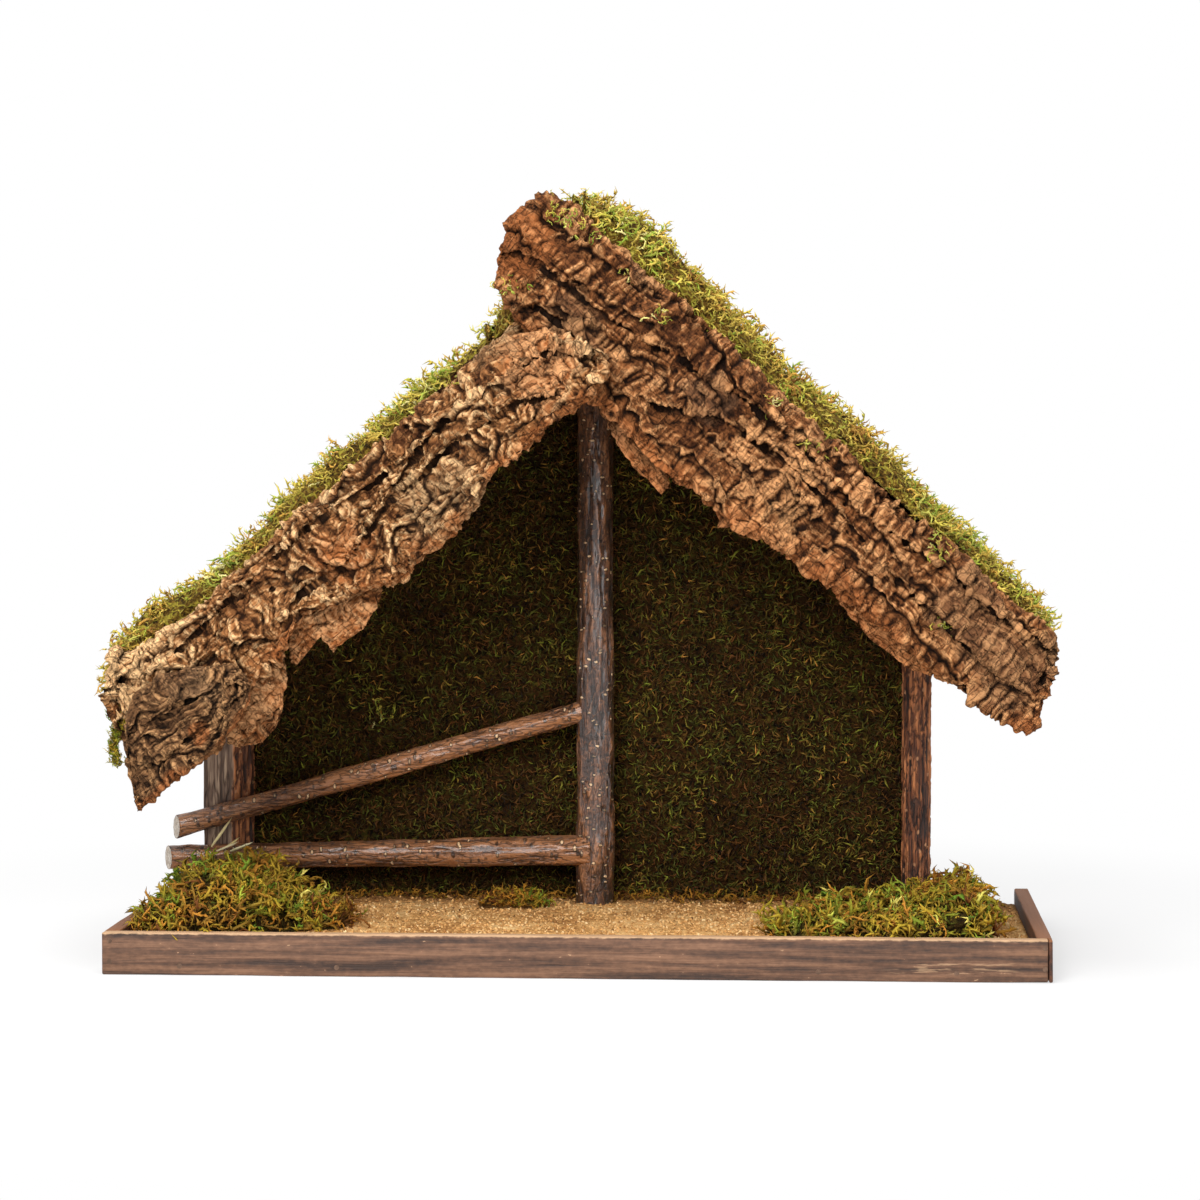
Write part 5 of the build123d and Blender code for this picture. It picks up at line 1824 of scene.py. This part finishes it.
@dataclass(frozen=True)
class TrayFinish:
    """Stained strip wood with flowing grain, worn pale along its upper edge."""

    name: str
    dark: Colour
    brown: Colour
    pale: Colour
    worn: Colour
    along: Axis
    top: float
    scar_low: Point = (0.15, -0.1, 0.004)
    scar_high: Point = (0.206, -0.09, 0.0095)
    worn_span: Span = (0.0013, 0.0004)
    worn_sway: float = 0.002

    def stretch(self, along: float, across: float) -> Point:
        """Waves per metre along the strip and across it, as waves along X, Y and Z."""
        return (along, across, across) if self.along is Axis.X else (across, along, across)

    def scars(self, shade: Shade) -> Value:
        """Where old scratches show on the front, from 0 to 1."""
        marks = shade.grain((75.0, 210.0, 760.0), detail=4.0).step(0.52, 0.62)
        for name, low, high in zip("XYZ", self.scar_low, self.scar_high):
            place = shade.axis(name)
            soft = 0.12 * (high - low)
            marks = marks * place.step(low - soft, low + soft) * (1.0 - place.step(high - soft, high + soft))
        return marks

    def material(self) -> Material:
        """Long grain in stain, rubbed through at the top edge and in small nicks."""
        shade = Shade(self.name)
        fine = shade.grain(self.stretch(26.0, 700.0), detail=5.0)
        broad = shade.grain(self.stretch(9.0, 120.0), detail=3.0)
        speck = shade.grain((240.0, 500.0, 500.0), detail=3.0)
        figure = shade.waves(self.stretch(16.0, 150.0), 9.0)
        tone = broad * 0.8 + fine * 0.62 + speck * 0.45 + figure * 0.2 - 0.53
        colour = shade.ramp(tone, [(0.28, self.dark), (0.5, self.brown), (0.74, self.pale)])
        colour = shade.blend((fine * -1.0).step(-0.38, -0.30) * 0.3, colour, self.dark)
        low, high = (self.top * MM - below for below in self.worn_span)
        edge = (shade.axis("Z") + (speck - 0.5) * self.worn_sway).step(low, high)
        nicks = speck.step(0.70, 0.74)
        colour = shade.blend(edge * 0.85, colour, self.worn)
        colour = shade.blend(nicks * 0.6, colour, self.worn)
        colour = shade.blend(self.scars(shade) * 0.7, colour, self.worn)
        return shade.finish(colour, 0.62 + fine * 0.15, fine * 0.7 + broad * 0.5, depth=0.0009)


@dataclass
class Tray:
    """Four strips round the bed, in millimetres."""

    slice_gap: float = 9.0
    inset: float = 0.18
    edge_round: float = 0.7
    wave: float = 0.16
    wave_size: Point = (20.0, 20.0, 8.0)
    corner_round: float = 3.0
    reach: float = 0.01
    smooth_angle: float = math.radians(40.0)
    flat_angle: float = math.radians(1.0)

    def choose(self, piece: Piece, low: Array, high: Array) -> None:
        """Selects the corners that lie inside a box, in millimetres, in edit mode."""
        bpy.context.tool_settings.mesh_select_mode = (True, False, False)
        bpy.ops.mesh.select_all(action="DESELECT")
        bpy.ops.object.mode_set(mode="OBJECT")
        for vertex in piece.data.vertices:
            place = np.array(vertex.co) / MM
            vertex.select = bool(np.all(place > low - self.reach) and np.all(place < high + self.reach))
        bpy.ops.object.mode_set(mode="EDIT")
        bpy.ops.mesh.select_mode(type="VERT")

    def strip(self, node: str, low: Array, high: Array, along: Axis) -> Piece:
        """One strip of wood, a little smaller than its node, with worn round edges.

        Args:
            node: The strip's CAD node.
            low: Lowest corner.
            high: Highest corner.
            along: Which axis the strip runs along.

        Returns:
            The strip's mesh.
        """
        piece = start_piece(f"{node}_strip", bpy.ops.mesh.primitive_cube_add, size=1.0, calc_uvs=False)
        front = box_of("front_rail")[1] + self.inset
        laps = along is Axis.Y and low[1] < front[1]
        body_low = np.array((low[0], front[1], low[2])) if laps else low
        edit_all()
        bpy.ops.transform.resize(value=tuple((high - body_low) * MM), center_override=ORIGIN)
        bpy.ops.transform.translate(value=tuple((body_low + high) / 2.0 * MM))
        if along is Axis.Y:
            self.choose(piece, np.array((low[0], high[1], high[2])), high)
            bpy.ops.mesh.bevel(offset=self.corner_round * MM, segments=5, affect="EDGES")
        if laps:
            pick_all()
            bpy.ops.mesh.bisect(plane_co=(front[0] * MM, 0.0, 0.0), plane_no=(1.0, 0.0, 0.0))
            lip_low, lip_high = ((front[0], body_low[1], low[2]), (high[0], body_low[1], high[2]))
            self.choose(piece, np.array(lip_low), np.array(lip_high))
            run = (0.0, (low[1] - body_low[1]) * MM, 0.0)
            bpy.ops.mesh.extrude_region_move(TRANSFORM_OT_translate={"value": run})
        pick_all()
        bpy.ops.mesh.remove_doubles(threshold=MERGE_GAP)
        bpy.ops.mesh.dissolve_limited(angle_limit=self.flat_angle)
        pick_all()
        bpy.ops.mesh.bevel(offset=self.edge_round * MM, segments=3, affect="EDGES")
        normal = np.eye(3)[along.value]
        cuts = max(1, round((high - low)[along.value] / self.slice_gap))
        for cut in range(1, cuts):
            place = (low + (high - low) * cut / cuts) * MM
            pick_all()
            bpy.ops.mesh.bisect(plane_co=tuple(place), plane_no=tuple(normal))
        bpy.ops.object.mode_set(mode="OBJECT")
        bpy.ops.object.shade_smooth_by_angle(angle=self.smooth_angle)
        return piece

    def weather(self, piece: Piece, seed: int) -> None:
        """Gives a strip's faces the slight waves of old wood."""
        mesh = piece.data
        points = corners_of(mesh)
        move_corners(mesh, points + self.wave * noise_by_axis(points / self.wave_size, seed, 1))
        mesh.update()

    def build(self) -> None:
        """Models and dresses the four strips."""
        top = float(box_of("front_rail")[1][2])
        grey = TrayFinish("grey_stain", tint(52, 33, 22), tint(94, 64, 45), tint(130, 93, 68),
                          tint(206, 166, 126), Axis.X, top)
        red = TrayFinish("red_stain", tint(32, 15, 8), tint(68, 37, 20), tint(96, 56, 32), tint(140, 90, 54),
                         Axis.Y, top)
        looks = {look.along: look.material() for look in (grey, red)}
        runs = {"front_rail": Axis.X, "back_rail": Axis.X, "left_rail": Axis.Y, "right_rail": Axis.Y}
        for seed, (node, along) in enumerate(runs.items(), start=51):
            low, high = box_of(node)
            piece = self.strip(node, low + self.inset, high - self.inset, along)
            self.weather(piece, seed)
            settle(piece, looks[along], "stained_wood", node)


@dataclass(frozen=True)
class BedFinish:
    """Golden crumbs of cork and sawdust stuck down in glue."""

    name: str = "crumb_bed"
    shadow: Colour = tint(164, 112, 60)
    gold: Colour = tint(232, 174, 104)
    pale: Colour = tint(250, 212, 150)
    debris_and_shade: Colour = tint(124, 82, 42)
    wall: float = 0.074
    foot: float = 0.028
    foot_sway: float = 0.06

    def material(self) -> Material:
        """Crumbs by fine noise, browner and darker towards the wall's foot, as debris and as painted shade.
        """
        shade = Shade(self.name)
        crumb = shade.grain(even(440.0), detail=5.0, rough=0.75)
        drift = shade.grain(even(40.0))
        stops = [(0.36, self.shadow), (0.52, self.gold), (0.7, self.pale)]
        colour = shade.ramp(crumb + (drift - 0.5) * 0.75, stops)
        # Browner and darker towards the wall's foot, as debris and as painted shade.
        place = shade.axis("Y") + (drift - 0.5) * self.foot_sway
        foot = place.step(self.wall - self.foot, self.wall)
        colour = shade.blend(foot * 0.75, colour, self.debris_and_shade)
        return shade.finish(colour, 0.92, crumb, depth=0.0012, Specular_IOR_Level=0.2)


@dataclass
class CrumbBed:
    """The bed of crumbs inside the tray."""

    node: str = "ground_bed"
    step: float = 1.7
    bump: float = 0.5
    bump_size: float = 8.0
    grit: float = 0.45
    grit_size: float = 2.4
    sink: float = 0.5
    needle: float = 5.0
    edge_gap: float = 0.1
    panel_overlap: float = 2.0
    crumbs: int = 8200
    crumb_length: Span = (0.9, 2.6)
    crumb_lift: float = 0.2
    margin: float = 2.0
    back_margin: float = 12.0
    wall: float = 3.0
    seed: int = 61
    look: BedFinish = BedFinish()
    crumb_look: StrandFinish = StrandFinish("crumbs", (
        (0.0, tint(104, 68, 36)), (0.25, tint(176, 126, 72)), (0.6, tint(228, 178, 112)),
        (1.0, tint(248, 218, 164))), 1.0, 0.9)

    def surface(self, x: Array, y: Array, low: Array, high: Array) -> Array:
        """Height of the bed's lumps with finer bumps on them.

        Args:
            x: Places across.
            y: Places back.
            low: The bed's lowest corner.
            high: The bed's highest corner.

        Returns:
            Heights in millimetres.
        """
        inside = np.clip(np.stack([x, y], axis=-1), low[:2] + self.edge_gap, high[:2] - self.edge_gap)
        start = high[2] + self.needle
        starts = np.insert(inside.reshape(-1, 2), 2, start, axis=1)
        gone = touch(self.node, starts, DOWNWARDS, 4.0 * self.needle)
        lumps = start - np.where(np.isnan(gone), np.nanmedian(gone), gone)
        places = np.stack([x, y, np.zeros_like(x)], axis=-1)
        bumps = self.bump * fractal(places / self.bump_size, self.seed)
        bumps = bumps + self.grit * fractal(places / self.grit_size, self.seed + 4)
        return lumps.reshape(x.shape) - self.sink + bumps

    def build(self) -> None:
        """Models and dresses the bed and its loose crumbs."""
        low, high = box_of(self.node)
        columns, rows = (round(side / self.step) for side in (high - low)[:2])
        grid = bpy.ops.mesh.primitive_grid_add
        piece = start_piece("crumb_bed", grid, x_subdivisions=columns, y_subdivisions=rows, calc_uvs=False)
        x, y = np.meshgrid(np.linspace(low[0], high[0], columns + 1), np.linspace(low[1], high[1], rows + 1))
        panel_low, panel_high = box_of("back_panel")
        behind = (x > panel_low[0]) & (x < panel_high[0])
        y = np.where(behind, np.minimum(y, panel_low[1] + self.panel_overlap), y)
        move_corners(piece.data, np.stack([x, y, self.surface(x, y, low, high)], axis=-1))
        bpy.ops.object.mode_set(mode="EDIT")
        bpy.ops.mesh.select_all(action="DESELECT")
        bpy.ops.mesh.select_non_manifold()
        bpy.ops.mesh.extrude_region_move(TRANSFORM_OT_translate={"value": (0.0, 0.0, -self.wall * MM)})
        foot = (0.0, 0.0, (low[2] + self.edge_gap) * MM)
        bpy.ops.transform.resize(value=(1.0, 1.0, 0.0), center_override=foot)
        bpy.ops.mesh.edge_face_add()
        finish_smooth()
        settle(piece, self.look.material(), "ground", self.node)
        settle(self.loose(low, high), self.crumb_look.material(), "ground")

    def loose(self, low: Array, high: Array) -> Piece:
        """Loose crumbs and shavings over the bed."""
        chance = np.random.default_rng(self.seed)
        x = chance.uniform(low[0] + self.margin, high[0] - self.margin, self.crumbs)
        y = chance.uniform(low[1] + self.margin, high[1] - self.back_margin, self.crumbs)
        places = np.stack([x, y, self.surface(x, y, low, high) + self.crumb_lift], axis=-1)
        headings = unit(chance.normal(size=(self.crumbs, 3)) * (1.0, 1.0, 0.35))
        lengths = chance.uniform(*self.crumb_length, self.crumbs)
        # Crumbs darker towards the back, as debris and as painted shade.
        tints = np.clip(chance.normal(0.55, 0.22, self.crumbs) - 0.4 * rise(y, 45.0, 74.0), 0.0, 1.0)
        crop = Crop(places, headings, lengths, np.ones(self.crumbs), tints)
        return sow("loose_crumbs", [shape.model() for shape in CRUMB_SHAPES], crop, chance)


# CAD nodes that keep their own shape


@dataclass
class HiddenWork:
    """The boards, battens and nails, which keep the frame's shapes and take their finishes here."""

    boards: tuple[str, ...] = (
        "floor_board", "back_panel", "ridge_batten", "left_roof_board", "right_roof_board",
        "left_front_rafter", "right_front_rafter")
    nails: tuple[str, ...] = (
        "tray_brads", "fence_nails", "post_screws", "panel_brads", "roof_brads", "bark_brads",
        "fascia_brads")

    def board_look(self) -> Material:
        """Unfinished board with long brown grain."""
        shade = Shade("plain_board")
        fine = shade.grain((26.0, 900.0, 900.0), detail=6.0, rough=0.7)
        broad = shade.grain((5.0, 70.0, 70.0), detail=3.0)
        figure = shade.waves((3.0, 60.0, 60.0), 14.0)
        stops = [(0.3, tint(112, 80, 50)), (0.5, tint(164, 126, 86)), (0.72, tint(200, 162, 116))]
        colour = shade.ramp(fine * 0.65 + broad * 0.4 + figure * 0.05 - 0.05, stops)
        colour = shade.blend((fine * -1.0).step(-0.42, -0.34) * 0.45, colour, tint(84, 58, 36))
        return shade.finish(colour, 0.72 + fine * 0.1, fine, depth=0.0006)

    def nail_look(self) -> Material:
        """Dull browned steel."""
        shade = Shade("browned_steel")
        stain = shade.grain(even(400.0), detail=3.0)
        colour = shade.ramp(stain, [(0.35, tint(84, 62, 48)), (0.65, tint(116, 90, 72))])
        return shade.finish(colour, 0.5 + stain * 0.2, stain, depth=0.0002, Metallic=0.5)

    def build(self) -> None:
        """Gives each node its finish."""
        looks = dict.fromkeys(self.boards, self.board_look()) | dict.fromkeys(self.nails, self.nail_look())
        for node, look in looks.items():
            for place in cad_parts[node].material_slots:
                place.material = look
            LOG.info("%s: finish %s", node, look.name)


# Floor, light and camera


class Lamp(NamedTuple):
    """A soft square lamp: where it stands and the length of its sides in metres, and its watts."""

    name: str
    place: Point
    power: float
    size: float


@dataclass
class Studio:
    """A pale floor, soft lamps and the camera, in metres and degrees."""

    azimuth: float = 3.548
    elevation: float = 2.370
    distance: float = 1.750
    target: Point = (0.006323, 0.0, 0.174934)
    lens_share: float = 3514.35 / 1200.0
    sensor: float = 36.0
    floor_size: float = 12.0
    lamps: tuple[Lamp, ...] = (
        Lamp("key", (-0.35, -1.60, 0.90), 25.0, 0.8),
        Lamp("fill", (0.9, -1.7, 0.35), 9.0, 1.2),
        Lamp("top", (-0.1, -0.3, 1.5), 16.0, 1.0),
    )
    ambient: float = 0.30

    def camera(self) -> None:
        """Stands the camera where the photograph was taken from."""
        turn, lift = math.radians(self.azimuth), math.radians(self.elevation)
        back = np.array((math.sin(turn) * math.cos(lift), -math.cos(turn) * math.cos(lift), math.sin(lift)))
        bpy.ops.object.camera_add(location=tuple(np.array(self.target) + back * self.distance),
                                  rotation=(math.pi / 2.0 - lift, 0.0, turn))
        camera = bpy.context.object
        camera.data.sensor_width = self.sensor
        camera.data.lens = self.sensor * self.lens_share
        camera.data.clip_start = 0.05
        bpy.context.scene.camera = camera

    def hang(self, lamp: Lamp) -> None:
        """Hangs a lamp so that it points at the stable."""
        bpy.ops.object.light_add(type="AREA", location=lamp.place)
        light = bpy.context.object
        light.name = lamp.name
        light.data.energy = lamp.power
        light.data.size = lamp.size
        away = np.array(lamp.place) - self.target
        flat = math.hypot(away[0], away[1])
        light.rotation_euler = (math.atan2(flat, away[2]), 0.0, math.atan2(away[0], -away[1]))

    def floor(self) -> None:
        """A pale floor that shows white far off and keeps the soft shadow near the stable."""
        floor = start_piece("studio_floor", bpy.ops.mesh.primitive_plane_add, size=self.floor_size)
        shade = Shade("pale_floor")
        away = shade.add("ShaderNodeVectorMath", {"operation": "LENGTH"}, {0: shade.place()}, "Value")
        far = away.step(0.25, 0.6)
        seen = shade.seen()
        matt = shade.add("ShaderNodeBsdfDiffuse", None, {"Color": (0.9, 0.9, 0.9, 1.0)})
        white = shade.add("ShaderNodeEmission", None, {"Color": WHITE, "Strength": 1.0})
        share = seen * (0.6 + far * 0.4)
        shade.add_output(shade.add("ShaderNodeMixShader", None, {0: share, 1: matt, 2: white}))
        floor.data.materials.append(shade.owner)

    def world(self) -> None:
        """Even light from all round, white where the camera sees it."""
        shade = Shade("studio", world=True)
        bpy.context.scene.world = shade.owner
        sockets = {"Value": shade.seen(), "To Min": self.ambient, "To Max": 1.0}
        strength = shade.add("ShaderNodeMapRange", None, sockets)
        light = shade.add("ShaderNodeBackground", None, {"Color": WHITE, "Strength": strength})
        shade.add_output(light, "ShaderNodeOutputWorld")

    def build(self) -> None:
        """Sets up floor, light and camera."""
        bpy.context.scene.view_settings.view_transform = "Standard"
        self.floor()
        self.world()
        for lamp in self.lamps:
            self.hang(lamp)
        self.camera()


def main() -> None:
    """Builds the stable's looks piece by piece, then the studio."""
    logging.basicConfig(level=logging.INFO, format="%(message)s")
    for part in (HiddenWork(), Tray(), CrumbBed(), Timbers(), MossWall(), CorkRoof(), Moss(), Studio()):
        part.build()


if __name__ == "__main__":
    main()
